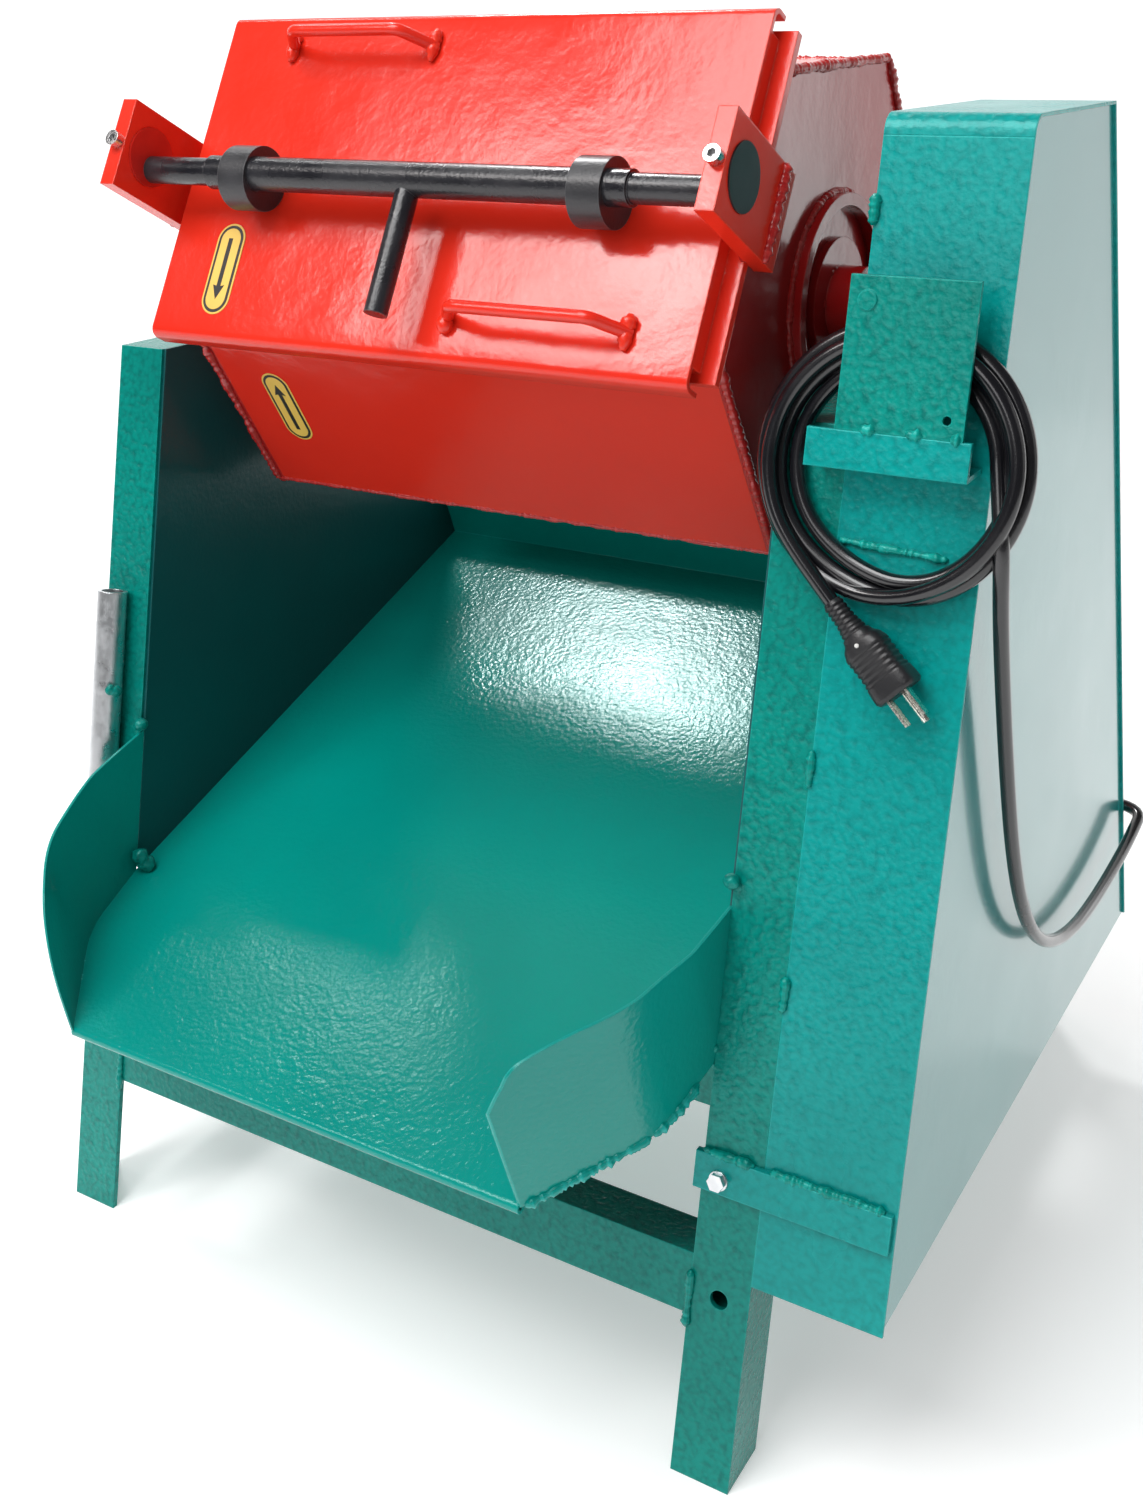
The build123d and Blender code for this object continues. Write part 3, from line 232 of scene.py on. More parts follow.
def moulded(name, colour, worn, rough, peel, **settings):
    """Rubber or plastic: a plain colour, dulled in patches, with a fine moulded grain."""
    made, tree, shader = finish_of(name, **settings)
    skin = use(tree, mottle, Patch=22.0, Speck=900.0)
    edge = use(tree, soft_edges, Radius=0.0006)
    tree.links.new(blend_colour(tree, skin["Patches"], colour, worn), shader.inputs["Base Color"])
    tree.links.new(between(tree, skin["Patches"], rough, rough + 0.12), shader.inputs["Roughness"])
    skin_bump(tree, shader, skin["Specks"], edge["Normal"], peel)
    return made


cord_sheath = moulded("cord_sheath", (0.004, 0.004, 0.006), (0.008, 0.008, 0.010), 0.16, 0.00002,
                      IOR=1.55, Coat_Weight=0.5, Coat_Roughness=0.06)
line.materials.append(cord_sheath)
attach(flex, "root")
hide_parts("supply_cord", "cord_coil")


# ---- Plug and gland ----
# The plug is moulded on: a ribbed tail, a waisted grip and a square head with two flat
# blades and a round earth pin of nickelled brass. A small white spot marks the grip.
# The gland is a black nylon elbow with a tapered sleeve.

def piece(name, mesh, body, slot, *finishes, smooth=True):
    """Puts a finished mesh on the machine, where it moves with the body."""
    for one in finishes:
        mesh.materials.append(one)
    for face in mesh.polygons:
        face.use_smooth = smooth
    made = bpy.data.objects.new(name, mesh)
    scene.collection.objects.link(made)
    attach(made, body)
    return made


def mesh_from(name, bm):
    bmesh.ops.recalc_face_normals(bm, faces=bm.faces)
    mesh = bpy.data.meshes.new(name)
    bm.to_mesh(mesh)
    bm.free()
    return mesh


def lofted(name, rings, closed_ends=True):
    """A skin over rings of the same number of points, capped at both ends."""
    bm = bmesh.new()
    loops = [[bm.verts.new(p) for p in ring] for ring in rings]
    for low, high in zip(loops, loops[1:]):
        for i in range(len(low)):
            j = (i + 1) % len(low)
            bm.faces.new((low[i], low[j], high[j], high[i]))
    if closed_ends:
        bm.faces.new(loops[0])
        bm.faces.new(loops[-1])
    return mesh_from(name, bm)


plug_side = plug_out.cross(plug_along)
# Distance along the plug, half width, half thickness and squareness of each ring
PLUG_RINGS = [(-0.013, 0.0053, 0.0053, 2.0), (-0.0128, 0.0060, 0.0060, 2.0),
              (0.000, 0.0064, 0.0064, 2.0), (0.008, 0.0078, 0.0076, 2.2),
              (0.0125, 0.0092, 0.0086, 2.6), (0.0155, 0.0116, 0.0098, 3.0),
              (0.020, 0.0130, 0.0106, 3.6), (0.028, 0.0127, 0.0103, 4.0),
              (0.036, 0.0126, 0.0102, 4.2), (0.041, 0.0131, 0.0107, 4.6),
              (0.0455, 0.0134, 0.0110, 5.0), (0.0490, 0.0134, 0.0110, 5.0),
              (0.0508, 0.0124, 0.0100, 4.6)]
rings = []
for step in range(105):
    place = -0.013 + 0.0638 * step / 104
    after = next(i for i, r in enumerate(PLUG_RINGS) if r[0] >= place - 1e-9)
    a, b = PLUG_RINGS[max(after - 1, 0)], PLUG_RINGS[max(after, 1)]
    share = (place - a[0]) / (b[0] - a[0])
    wide, thick, square = (a[k] + (b[k] - a[k]) * share for k in (1, 2, 3))
    rib = 0.0
    if place < 0.010:
        rib = -0.0007 * (math.cos(place / 0.0030 * 2 * math.pi) > 0.35)
    elif 0.0215 < place < 0.0395:
        rib = -0.0006 * (math.cos(place / 0.0036 * 2 * math.pi) > 0.2)
    ring = []
    for k in range(40):
        turned = 2 * math.pi * k / 40
        c, s = math.cos(turned), math.sin(turned)
        reach = (abs(c) ** square + abs(s) ** square) ** (-1 / square)
        ring.append(plug_tail + plug_along * place + plug_side * (wide + rib) * reach * c
                    + plug_out * (thick + rib) * reach * s)
    rings.append(ring)
plug = piece("moulded_plug", lofted("moulded_plug", rings), "root", "cord_black",
             moulded("plug_vinyl", (0.010, 0.010, 0.012), (0.018, 0.018, 0.020), 0.30, 0.00005,
                     IOR=1.5))
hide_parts("plug_body")

spot_rings = []
for radius, height in ((0.0013, 0.0096), (0.0013, 0.01065), (0.0009, 0.01095), (0.0003, 0.0110)):
    spot_rings.append([plug_tail + plug_along * 0.0165 + plug_out * height
                       + (plug_along * math.cos(a) + plug_side * math.sin(a)) * radius
                       for a in (2 * math.pi * k / 20 for k in range(20))])
white_ink = moulded("white_spot", (0.75, 0.75, 0.72), (0.6, 0.6, 0.58), 0.4, 0.00003)
plug_spot = piece("plug_spot", lofted("plug_spot", spot_rings), "root", "cord_black", white_ink)


def metal(name, light, dark, rough, grain, depth, edge_radius=0.0006):
    """Bare metal: a grain of tool marks or zinc, with a painted highlight along its edges."""
    made, tree, shader = finish_of(name, Metallic=1.0)
    skin = use(tree, mottle, Patch=grain / 9, Speck=grain)
    edge = use(tree, soft_edges, Radius=edge_radius)
    body = blend_colour(tree, skin["Patches"], light, dark)
    # Painted highlight: the edges are lightened to the light colour.
    tree.links.new(blend_colour(tree, edge["Edge"], body, light), shader.inputs["Base Color"])
    tree.links.new(between(tree, skin["Specks"], rough, rough + 0.18), shader.inputs["Roughness"])
    skin_bump(tree, shader, skin["Specks"], edge["Normal"], depth)
    return made


def wear(finish, *names):
    """Gives CAD nodes their finish."""
    for name in names:
        node[name].data.materials.clear()
        node[name].data.materials.append(finish)


wear(metal("nickelled_brass", (0.86, 0.83, 0.76), (0.62, 0.59, 0.52), 0.16, 500, 0.00002),
     "plug_pins")
wear(moulded("gland_nylon", (0.014, 0.014, 0.015), (0.03, 0.03, 0.032), 0.42, 0.00008),
     "cord_gland")


# ---- Stand ----
# Four splayed posts of 40 mm angle iron with square tube between them, welded by hand
# and sprayed with hammer enamel, which dries in small dimples with darker pits.

hammer, taken, given = effect("hammer_dimples", {"Grain": 240.0, "Warp": 0.0016},
                              {"Height": "Float", "Pits": "Float"})
where = fit(hammer, "TexCoord").outputs["Object"]
swirl = fit(hammer, "TexNoise", {"Vector": where, "Scale": 160.0, "Detail": 2.0})
moved = fit(hammer, "VectorMath", {0: swirl.outputs["Color"], "Scale": taken["Warp"]},
            operation="SCALE")
bent = fit(hammer, "VectorMath", {0: where, 1: moved.outputs[0]}, operation="ADD")
cells = fit(hammer, "TexVoronoi", {"Vector": bent.outputs[0], "Scale": taken["Grain"]},
            feature="SMOOTH_F1")
ragged = fit(hammer, "TexNoise", {"Vector": where, "Scale": 330.0, "Detail": 3.0})
lift = fit(hammer, "Math", {0: cells.outputs["Distance"], 1: ragged.outputs["Fac"]},
           operation="MULTIPLY")
pit = fit(hammer, "MapRange", {"Value": lift.outputs[0], "From Min": 0.12, "From Max": 0.42})
hammer.links.new(lift.outputs[0], given["Height"])
hammer.links.new(pit.outputs["Result"], given["Pits"])


def enamel(name, colour, shade, edge_highlight, rough, peel, wave, grain=None, **settings):
    """Sprayed enamel over steel: cloudy shade, a painted highlight along edges, a skin
    of orange peel over slow ripples of the sheet, or hammer dimples where a grain is given."""
    made, tree, shader = finish_of(name, **settings)
    skin = use(tree, mottle, Patch=6.0, Speck=260.0)
    slow = use(tree, mottle, Patch=13.0, Speck=38.0)
    edge = use(tree, soft_edges, Radius=0.0014)
    body = blend_colour(tree, between(tree, skin["Patches"], 0.0, 0.55), colour, shade)
    height = skin["Specks"]
    if grain:
        dimples = use(tree, hammer, Grain=grain)
        body = blend_colour(tree, between(tree, dimples["Pits"], 0.0, 0.75), body, shade)
        height = dimples["Height"]
    # Painted highlight: every edge is lightened towards a brighter copy of the colour.
    body = blend_colour(tree, between(tree, edge["Edge"], 0.0, 0.45), body, edge_highlight)
    tree.links.new(body, shader.inputs["Base Color"])
    tree.links.new(between(tree, slow["Patches"], rough, rough + 0.07), shader.inputs["Roughness"])
    ripple = fit(tree, "Bump", {"Height": slow["Specks"], "Normal": edge["Normal"],
                                "Distance": wave})
    skin_bump(tree, shader, height, ripple.outputs["Normal"], peel)
    return made


hammered_green = enamel("hammered_green", (0.0, 0.250, 0.205), (0.0, 0.110, 0.092),
                        (0.01, 0.50, 0.44), 0.22, 0.00080, 0.0001, grain=270.0,
                        Specular_IOR_Level=0.45, Specular_Tint=(0.45, 1.0, 0.96, 1))
wear(hammered_green, "left_front_post", "right_front_post", "left_rear_post", "right_rear_post",
     "top_rails", "low_side_rails", "front_rail", "rear_rails", "chute_rail", "motor_base",
     "hanger_plate")


BEAD_STEP = 0.22          # rings along a bead, in its widths
BEAD_SIDES = 10
DROP_RINGS = 4.4          # rings to one drop of weld


def bead(name, path, width, body, slot, finish, seed, ripple=0.18):
    """A hand-laid weld: a lumpy worm of overlapping drops along a path."""
    draw = random.Random(seed)
    path = [Vector(p) for p in path]
    lengths = [(b - a).length for a, b in zip(path, path[1:])]
    total = sum(lengths)
    count = max(6, int(total / (width * BEAD_STEP)))
    rings, drift = [], [draw.uniform(-1, 1) for _ in range(count + 2)]
    for step in range(count + 1):
        at, leg = total * step / count, 0
        while leg < len(lengths) - 1 and at > lengths[leg]:
            at -= lengths[leg]
            leg += 1
        along = (path[leg + 1] - path[leg]).normalized()
        middle = path[leg] + along * at
        one = along.orthogonal().normalized()
        two = along.cross(one)
        slow = noise.noise(middle * 90 + Vector((seed, 0, 0)))
        drop = (1 + ripple * 0.6 * math.cos(step * 2 * math.pi / DROP_RINGS + 1.6 * drift[step])
                + 0.12 * drift[step] + 0.5 * slow)
        end = min(1.0, 0.35 + 1.5 * min(step, count - step) / 4)
        middle = middle + (one * drift[step + 1] + two * drift[step]) * width * 0.05
        radius = width / 2 * drop * end
        rings.append([middle + (one * math.cos(a) + two * math.sin(a)) * radius
                      for a in (2 * math.pi * k / BEAD_SIDES for k in range(BEAD_SIDES))])
    return piece(name, lofted(name, rings), body, slot, finish)


def blob(name, centre, size, body, slot, finish, seed, count=3):
    """A few drops of weld on one spot."""
    draw = random.Random(seed)
    bm = bmesh.new()
    for _ in range(count):
        made = bmesh.ops.create_icosphere(bm, subdivisions=3,
                                          radius=size * draw.uniform(0.35, 0.55))
        shift = Vector([draw.uniform(-0.35, 0.35) * size for _ in range(3)])
        for v in made["verts"]:
            rough = 1 + 0.22 * noise.noise(v.co * 260 + Vector((seed, 0, 0)))
            v.co = Vector(centre) + shift + v.co * rough
    return piece(name, mesh_from(name, bm), body, slot, finish)


# ---- Welds of the stand ----
# Posts, rails, strips and the hanger's angle are joined with short hand-laid beads,
# painted over with the stand. They are lumpy, and wider where the gap was wide.

def front_bead(name, ends, off, width, seed):
    """A bead on the stand's front, from (x, z) to (x, z)."""
    return bead(name, [off_front(x, z, off) for x, z in ends], width, "root",
                "hammered_green", hammered_green, seed)


front_bead("hanger_weld_1", [(0.2565, 0.6535), (0.2655, 0.6530)], 0.0235, 0.0070, 1)
front_bead("hanger_weld_2", [(0.2830, 0.6535), (0.2925, 0.6530)], 0.0235, 0.0068, 2)
front_bead("hanger_weld_3", [(0.3080, 0.6535), (0.3140, 0.6530)], 0.0235, 0.0065, 3)
front_bead("hanger_foot_weld_1", [(0.2270, 0.6310), (0.2410, 0.6310)], 0.0015, 0.0055, 4)
front_bead("hanger_foot_weld_2", [(0.2900, 0.6310), (0.3180, 0.6310)], 0.0015, 0.0055, 5)
front_bead("strip_weld_1", [(0.2020, 0.2115), (0.2360, 0.2115)], 0.0020, 0.0060, 6)
front_bead("strip_weld_2", [(0.2460, 0.2115), (0.3190, 0.2115)], 0.0020, 0.0055, 7)
front_bead("guard_seam", [(0.2435, 0.5860), (0.2620, 0.5850), (0.2860, 0.5840), (0.3080, 0.5832)],
           0.0008, 0.0050, 8)
front_bead("guard_post_weld_1", [(0.2420, 0.7750), (0.2420, 0.7580)], 0.0010, 0.0055, 9)
front_bead("guard_post_weld_2", [(0.2420, 0.4650), (0.2420, 0.4430)], 0.0010, 0.0055, 10)
front_bead("guard_post_weld_3", [(0.2420, 0.3300), (0.2420, 0.3080)], 0.0010, 0.0055, 11)
front_bead("rail_end_weld_left", [(-0.2860, 0.0960), (-0.2860, 0.1330)], 0.0010, 0.0050, 12)
front_bead("rail_end_weld_right", [(0.2020, 0.0960), (0.2020, 0.1330)], 0.0010, 0.0050, 13)
for way, x in (("left", -0.2850), ("right", 0.2010)):
    blob(f"cheek_tack_{way}", off_front(x, 0.3760, 0.0005), 0.0095, "root", "hammered_green",
         hammered_green, 20 + len(way))
blob("cheek_tack_low", off_front(0.1985, 0.2760, 0.0010), 0.0085, "root", "hammered_green",
     hammered_green, 31)
blob("cheek_tack_left_low", off_front(-0.2780, 0.2765, 0.0010), 0.0130, "root",
     "hammered_green", hammered_green, 33)


# ---- Chute ----
# One sloping tray of 2 mm sheet, its lip rolled under so that grain, grit or hands
# don't catch. Both cheeks are cut from sheet by hand to a wavy line, bent in towards
# the lip and butt welded to the side sheets. Gloss enamel.

SLOPE = math.radians(19.75)
SHEET = 0.002
KNEE_Y, KNEE_Z = -0.27640, 0.24700
MID_X = -0.042
KNEE_HALF, BACK_HALF, LIP_HALF = 0.234, 0.242, 0.181
LIP_RUN, BACK_AT = 0.073, 0.0605
NOSE_RUN = LIP_RUN + SHEET * math.sin(math.atan2(KNEE_HALF - LIP_HALF, LIP_RUN))


def on_chute(x, run, height):
    """A point along the chute and square to its floor."""
    return Vector((x, KNEE_Y + run * math.cos(SLOPE) - height * math.sin(SLOPE),
                   KNEE_Z + run * math.sin(SLOPE) + height * math.cos(SLOPE)))


def cheek_half(run):
    """How far the cheek's inner face stands from the middle of the chute. The bend at
    the knee is a wide one, made over the knee and not in a brake."""
    def folded(at):
        if at < 0:
            return KNEE_HALF + (LIP_HALF - KNEE_HALF) * -at / LIP_RUN
        return KNEE_HALF + (BACK_HALF - KNEE_HALF) * min(at / BACK_AT, 1.0)
    if run < -0.030 or run > 0.030:
        return folded(run)
    return sum(folded(run + 0.004 * k) for k in range(-4, 5)) / 9


def smooth_line(points, count):
    """A Catmull-Rom line through points."""
    points = [Vector(p) for p in points]
    full = [points[0] * 2 - points[1], *points, points[-1] * 2 - points[-2]]
    line_through = []
    for i in range(1, len(full) - 2):
        a, b, c, d = full[i - 1:i + 3]
        for k in range(count):
            t = k / count
            line_through.append((b * 2 + (c - a) * t + (a * 2 - b * 5 + c * 4 - d) * t * t
                                 + (b * 3 - a - c * 3 + d) * t ** 3) / 2)
    return line_through + [points[-1]]


chute_green = enamel("chute_green", (0.0, 0.275, 0.232), (0.0, 0.205, 0.178),
                     (0.04, 0.62, 0.58), 0.15, 0.00014, 0.00012,
                     Specular_IOR_Level=0.5, Specular_Tint=(0.70, 1.0, 0.98, 1))
# The side sheets take a much darker copy of the chute's green, which is painted shade.
shaded_side_green = enamel("side_sheet_painted_shade", (0.002, 0.075, 0.078), (0.001, 0.050, 0.054),
                    (0.01, 0.22, 0.21), 0.28, 0.00006, 0.0001)
wear(chute_green, "chute_floor")
wear(shaded_side_green, "side_sheets")


def cheek(name, way, outline):
    """A bent side, its top edge a smooth hand-cut line, cut off at the side sheet."""
    top = smooth_line([(run / 1000, height / 1000) for run, height in outline], 12)
    rings = []
    for run, height in top:
        near, far = cheek_half(run), cheek_half(run) + SHEET * 1.02
        rings.append([on_chute(MID_X + way * near, run, -SHEET),
                      on_chute(MID_X + way * near, run, height),
                      on_chute(MID_X + way * far, run, height),
                      on_chute(MID_X + way * far, run, -SHEET)])
    mesh = lofted(name, rings)
    bm = bmesh.new()
    bm.from_mesh(mesh)
    cut = bmesh.ops.bisect_plane(
        bm, geom=bm.verts[:] + bm.edges[:] + bm.faces[:], plane_co=off_front(0, 0, -SHEET),
        plane_no=(0, math.cos(FRONT_LEAN), -math.sin(FRONT_LEAN)), clear_outer=True)
    bmesh.ops.holes_fill(bm, edges=[e for e in cut["geom_cut"]
                                    if isinstance(e, bmesh.types.BMEdge)])
    made = piece(name, mesh_from(name, bm), "root", "chute_green", chute_green)
    made.data.set_sharp_from_angle(angle=math.radians(40))
    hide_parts(name)
    return made


cheek("left_cheek", -1, [(-76, 0), (-73, 12), (-66, 34), (-55, 54), (-38, 71), (-14, 81),
                         (20, 90), (62, 95), (117, 92), (140, 90)])
cheek("right_cheek", 1, [(-1000 * NOSE_RUN, 84), (-66, 97), (-54, 110), (-20, 112), (18, 106),
                         (60, 94), (110, 82), (140, 76)])


def chute_bead(name, way, ends, width, seed):
    """A bead along the outer corner between a cheek and the floor."""
    return bead(name, [on_chute(MID_X + way * (cheek_half(r) + SHEET), r, -SHEET) for r in ends],
                width, "root", "chute_green", chute_green, seed, ripple=0.3)


chute_bead("lip_weld_right", 1, (-0.072, -0.040, -0.004), 0.0062, 41)
chute_bead("knee_weld_right", 1, (-0.002, 0.020, 0.040), 0.0070, 42)
chute_bead("lip_weld_left", -1, (-0.072, -0.040, -0.004), 0.0045, 43)


# ---- Drum ----
# A six-sided barrel of 4 mm plate between two end plates, with a flat flange round
# its mouth. The seams are welded all along and painted over. Red gloss enamel.

AXIS_Y, AXIS_Z, TILT = 0.014598, 0.6919, math.radians(28.6)
BARREL_HALF, CORNER, APOTHEM = 0.2065, 0.172, 0.14896


def on_drum(x, out, up, turn=0.0):
    """A point out from the drum's axis towards the mouth, and up along its face."""
    c, s = math.cos(TILT + turn), math.sin(TILT + turn)
    return Vector((x, AXIS_Y - out * c + up * s, AXIS_Z + out * s + up * c))


drum_red = enamel("drum_red", (0.74, 0.028, 0.012), (0.64, 0.018, 0.009),
                  (0.95, 0.10, 0.05), 0.15, 0.00005, 0.00018)
crimson = enamel("end_plate_red", (0.42, 0.010, 0.010), (0.33, 0.008, 0.009),
                 (0.75, 0.06, 0.05), 0.15, 0.00005, 0.00020,
                 Coat_Weight=0.3, Coat_Roughness=0.08)
wear(drum_red, "barrel_panel_1", "barrel_panel_2", "barrel_panel_3", "barrel_panel_4",
     "barrel_panel_5", "mouth_flange", "clamp_ears", "upper_lid_handle", "lower_lid_handle")
wear(crimson, "left_end_plate", "right_end_plate", "end_rings", "shaft_hubs")


def red_bead(name, path, width, seed, body="drum", ripple=0.22):
    """A painted weld of the drum, or of the lid in the lid's brighter red."""
    finish = drum_red if body == "lid" else crimson
    return bead(name, path, width, body, "drum_red", finish, seed, ripple=ripple)


RING_WELD, HUB_WELD = 0.0705, 0.0245     # radii of the two round welds on an end


def round_axis(x, radius, degrees):
    """A closed ring of points round the drum's axis, so many degrees apart."""
    return [Vector((x, AXIS_Y + radius * math.cos(a), AXIS_Z + radius * math.sin(a)))
            for a in (math.radians(b) for b in range(0, 361, degrees))]


for way, side in ((1, "right"), (-1, "left")):
    face_x = MID_X + way * BARREL_HALF
    for k in range(1, 6):
        turn = math.radians(60 * k)
        red_bead(f"seam_{side}_{k}", [on_drum(face_x, APOTHEM, v, turn)
                                      for v in (-CORNER / 2, CORNER / 2)], 0.0060, 50 + 7 * k + way)
    red_bead(f"flange_seam_{side}",
             [on_drum(face_x + way * 0.001, APOTHEM - 0.001, v)
              for v in (-0.085, -0.02, 0.03, 0.085)],
             0.0085, 90 + way, ripple=0.32)
    red_bead(f"ring_weld_{side}", round_axis(face_x + way * 0.0005, RING_WELD, 12), 0.0050,
             100 + way)
    red_bead(f"hub_weld_{side}", round_axis(face_x + way * 0.0010, HUB_WELD, 20), 0.0070,
             104 + way, ripple=0.3)
    for root, x in (("inner", 0.2140), ("outer", 0.2270)):
        red_bead(f"ear_weld_{side}_{root}", [on_drum(MID_X + way * x, 0.1550, v)
                                             for v in (-0.034, 0.026)], 0.0065,
                 110 + way + len(root), ripple=0.3)
for k in range(1, 6):
    turn = math.radians(60 * k - 30)
    red_bead(f"corner_seam_{k}", [on_drum(MID_X + x, CORNER - 0.0012, 0, turn)
                                  for x in (-BARREL_HALF, BARREL_HALF)], 0.0042, 120 + k,
             ripple=0.12)


# ---- Lid ----
# A pressed plate of 3 mm sheet with its long edges rolled down over the seal. It is
# never quite flat, and its gloss shows that. The handles are bent rod, welded on.

LID_OUT, LID_THICK, LID_HALF, LID_LIP, LID_ROLL = 0.170, 0.003, 0.117, 0.015, 0.0070
LID_END = 0.2045          # half the lid's length
LID_DENT = 0.0005         # how far the face waves


def lid_section():
    """The folded section as (out, up), first outside, then back along the inside."""
    def side(skin, roll):
        half = [(LID_OUT - LID_LIP, LID_HALF - skin)]
        for k in range(9):
            a = math.pi / 2 * k / 8
            half.append((LID_OUT - LID_ROLL + roll * math.sin(a),
                         LID_HALF - LID_ROLL + roll * math.cos(a)))
        return half
    outer, inner = side(0, LID_ROLL), side(LID_THICK, LID_ROLL - LID_THICK)
    flat = [(LID_HALF - LID_ROLL) * (1 - k / 12) for k in range(1, 24)]
    return (outer + [(LID_OUT, u) for u in flat]
            + [(o, -u) for o, u in reversed(outer)] + [(o, -u) for o, u in inner]
            + [(LID_OUT - LID_THICK, -u) for u in flat] + [(o, u) for o, u in reversed(inner)])


rings = []
for step in range(61):
    x = MID_X + LID_END * (step / 30 - 1)
    ring = []
    for out, up in lid_section():
        dent = noise.noise(Vector((x * 9, up * 11, 3.1))) + 0.5 * noise.noise(
            Vector((x * 21, up * 24, 7.7)))
        lift = LID_DENT * max(0.0, dent + 0.6) * (out > LID_OUT - LID_THICK - 1e-6)
        ring.append(on_drum(x, out + lift, up))
    rings.append(ring)
lid = piece("lid_plate", lofted("lid_plate", rings), "lid", "drum_red", drum_red)
lid.data.set_sharp_from_angle(angle=math.radians(50))
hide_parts("lid_plate")
for label, middle, up, span in (("upper", -0.1285, 0.092, 0.118), ("lower", 0.0555, -0.087, 0.128)):
    for way in (-1, 1):
        foot = middle + way * (span / 2 - 0.001)
        red_bead(f"{label}_handle_stub_{way + 2}",
                 [on_drum(foot, LID_OUT + 0.0025, up - 0.0110),
                  on_drum(foot, LID_OUT + 0.0028, up + 0.0110)],
                 0.0082, 130 + len(label) + way, body="lid", ripple=0.28)

wear(moulded("seal_rubber", (0.012, 0.012, 0.012), (0.022, 0.021, 0.02), 0.55, 0.00008),
     "lid_gasket")


# ---- Arrow labels ----
# Two vinyl stickers, one low on the lid and one on the barrel below it: amber with
# a black line inside the edge and a plain black arrow, in four thin layers.

LABEL_LENGTH, LABEL_WIDE = 0.0640, 0.0235
LABEL_FOOT = -0.0004                     # every layer starts inside what carries it
LABEL_TOP, LABEL_STEP = 0.0002, 0.00015  # the rim's height, and each layer's over the last
LABEL_OVER = 0.0006                      # the lid's sticker clears the waves of the face
amber = moulded("label_amber", (0.80, 0.52, 0.10), (0.70, 0.44, 0.08), 0.33, 0.00003)
label_black = moulded("label_black", (0.012, 0.012, 0.012), (0.03, 0.03, 0.03), 0.35, 0.00003)


def stadium(inset):
    """The sticker's outline, all round smaller by the inset."""
    radius, straight = LABEL_WIDE / 2 - inset, (LABEL_LENGTH - LABEL_WIDE) / 2
    rim = []
    for k in range(32):
        a = 2 * math.pi * (k + 0.5) / 32
        rim.append((radius * math.cos(a),
                    math.copysign(straight, math.sin(a)) + radius * math.sin(a)))
    return rim


ARROW = [(0, -0.0215), (0.0048, -0.0115), (0.0017, -0.0122), (0.0017, 0.0215), (-0.0017, 0.0215),
         (-0.0017, -0.0122), (-0.0048, -0.0115)]


def sticker(name, body, place, way):
    """Layers of one sticker, each lying on the one below: rim, line, ground and arrow."""
    layers = [("rim", stadium(0), amber), ("line", stadium(0.0014), label_black),
              ("ground", stadium(0.0034), amber), ("arrow", ARROW, label_black)]
    for step, (layer, shape, finish) in enumerate(layers):
        rings = [[place(u, v * way, lift) for u, v in shape]
                 for lift in (LABEL_FOOT, LABEL_TOP + LABEL_STEP * step)]
        piece(f"{name}_{layer}", lofted(name, rings), body, "drum_red", finish, smooth=False)


def on_lid(u, v, lift):
    """A place on the lid's sticker, which lies over the waves of the face."""
    return on_drum(-0.1970 + u, LID_OUT + LABEL_OVER + lift, -0.0670 + v)


def on_barrel(u, v, lift):
    """A place on the sticker of the barrel's lower front face."""
    return on_drum(-0.2000 + u, APOTHEM + lift, -0.0060 + v, math.radians(-60))


sticker("lid_label", "lid", on_lid, 1)
sticker("barrel_label", "drum", on_barrel, -1)


# ---- Clamp ----
# A steel bar with two round cams, pushed through the ears and turned with its T-grip
# to press the lid down. Black paint over steel, with a painted highlight of grey along
# the edges. The left bush that carries the bar was sprayed red with the ears.

def painted_black(name, colour, worn, rough, peel):
    """Gloss black paint, dulled in patches, with a painted highlight of grey along the edges."""
    made, tree, shader = finish_of(name, Coat_Weight=0.2, Coat_Roughness=0.2)
    skin = use(tree, mottle, Patch=30.0, Speck=520.0)
    edge = use(tree, soft_edges, Radius=0.0010)
    body = blend_colour(tree, skin["Patches"], colour, worn)
    # Painted highlight: the edges are lightened to grey.
    tree.links.new(blend_colour(tree, between(tree, edge["Edge"], 0.0, 0.5), body,
                                (0.20, 0.20, 0.21)), shader.inputs["Base Color"])
    tree.links.new(between(tree, skin["Patches"], rough, rough + 0.2), shader.inputs["Roughness"])
    skin_bump(tree, shader, skin["Specks"], edge["Normal"], peel)
    return made


wear(painted_black("clamp_black", (0.008, 0.008, 0.011), (0.022, 0.022, 0.026), 0.17, 0.00012),
     "clamp_bar", "clamp_grip")
bush, bush_tree, bush_shader = finish_of("bush_paint", Roughness=0.3)
bush_skin = use(bush_tree, mottle, Patch=30.0, Speck=520.0)
bush_place = fit(bush_tree, "SeparateXYZ", {0: fit(bush_tree, "TexCoord").outputs["Object"]})
on_right = fit(bush_tree, "Math", {0: bush_place.outputs["X"], 1: MID_X}, operation="GREATER_THAN")
bush_tree.links.new(
    blend_colour(bush_tree, on_right.outputs[0],
                 blend_colour(bush_tree, bush_skin["Patches"], (0.60, 0.020, 0.010),
                              (0.42, 0.012, 0.008)),
                 blend_colour(bush_tree, bush_skin["Patches"], (0.012, 0.012, 0.014),
                              (0.03, 0.03, 0.034))),
    bush_shader.inputs["Base Color"])
wear(bush, "journal_bushes")
wear(painted_black("cam_black", (0.014, 0.014, 0.016), (0.03, 0.03, 0.034), 0.3, 0.00010),
     "cam_collars")
stainless = metal("stainless", (0.80, 0.80, 0.80), (0.55, 0.55, 0.56), 0.18, 620, 0.00002)
wear(stainless, "ear_screws", "stub_shafts", "bearing_inner_rings", "output_shaft", "motor_rotor")


# ---- Belt guard and hanger ----
# Folded sheet with a flat side let in and welded round. Lighter enamel than the
# stand. Over the front hangs a short angle with a plate and peg for the coil.

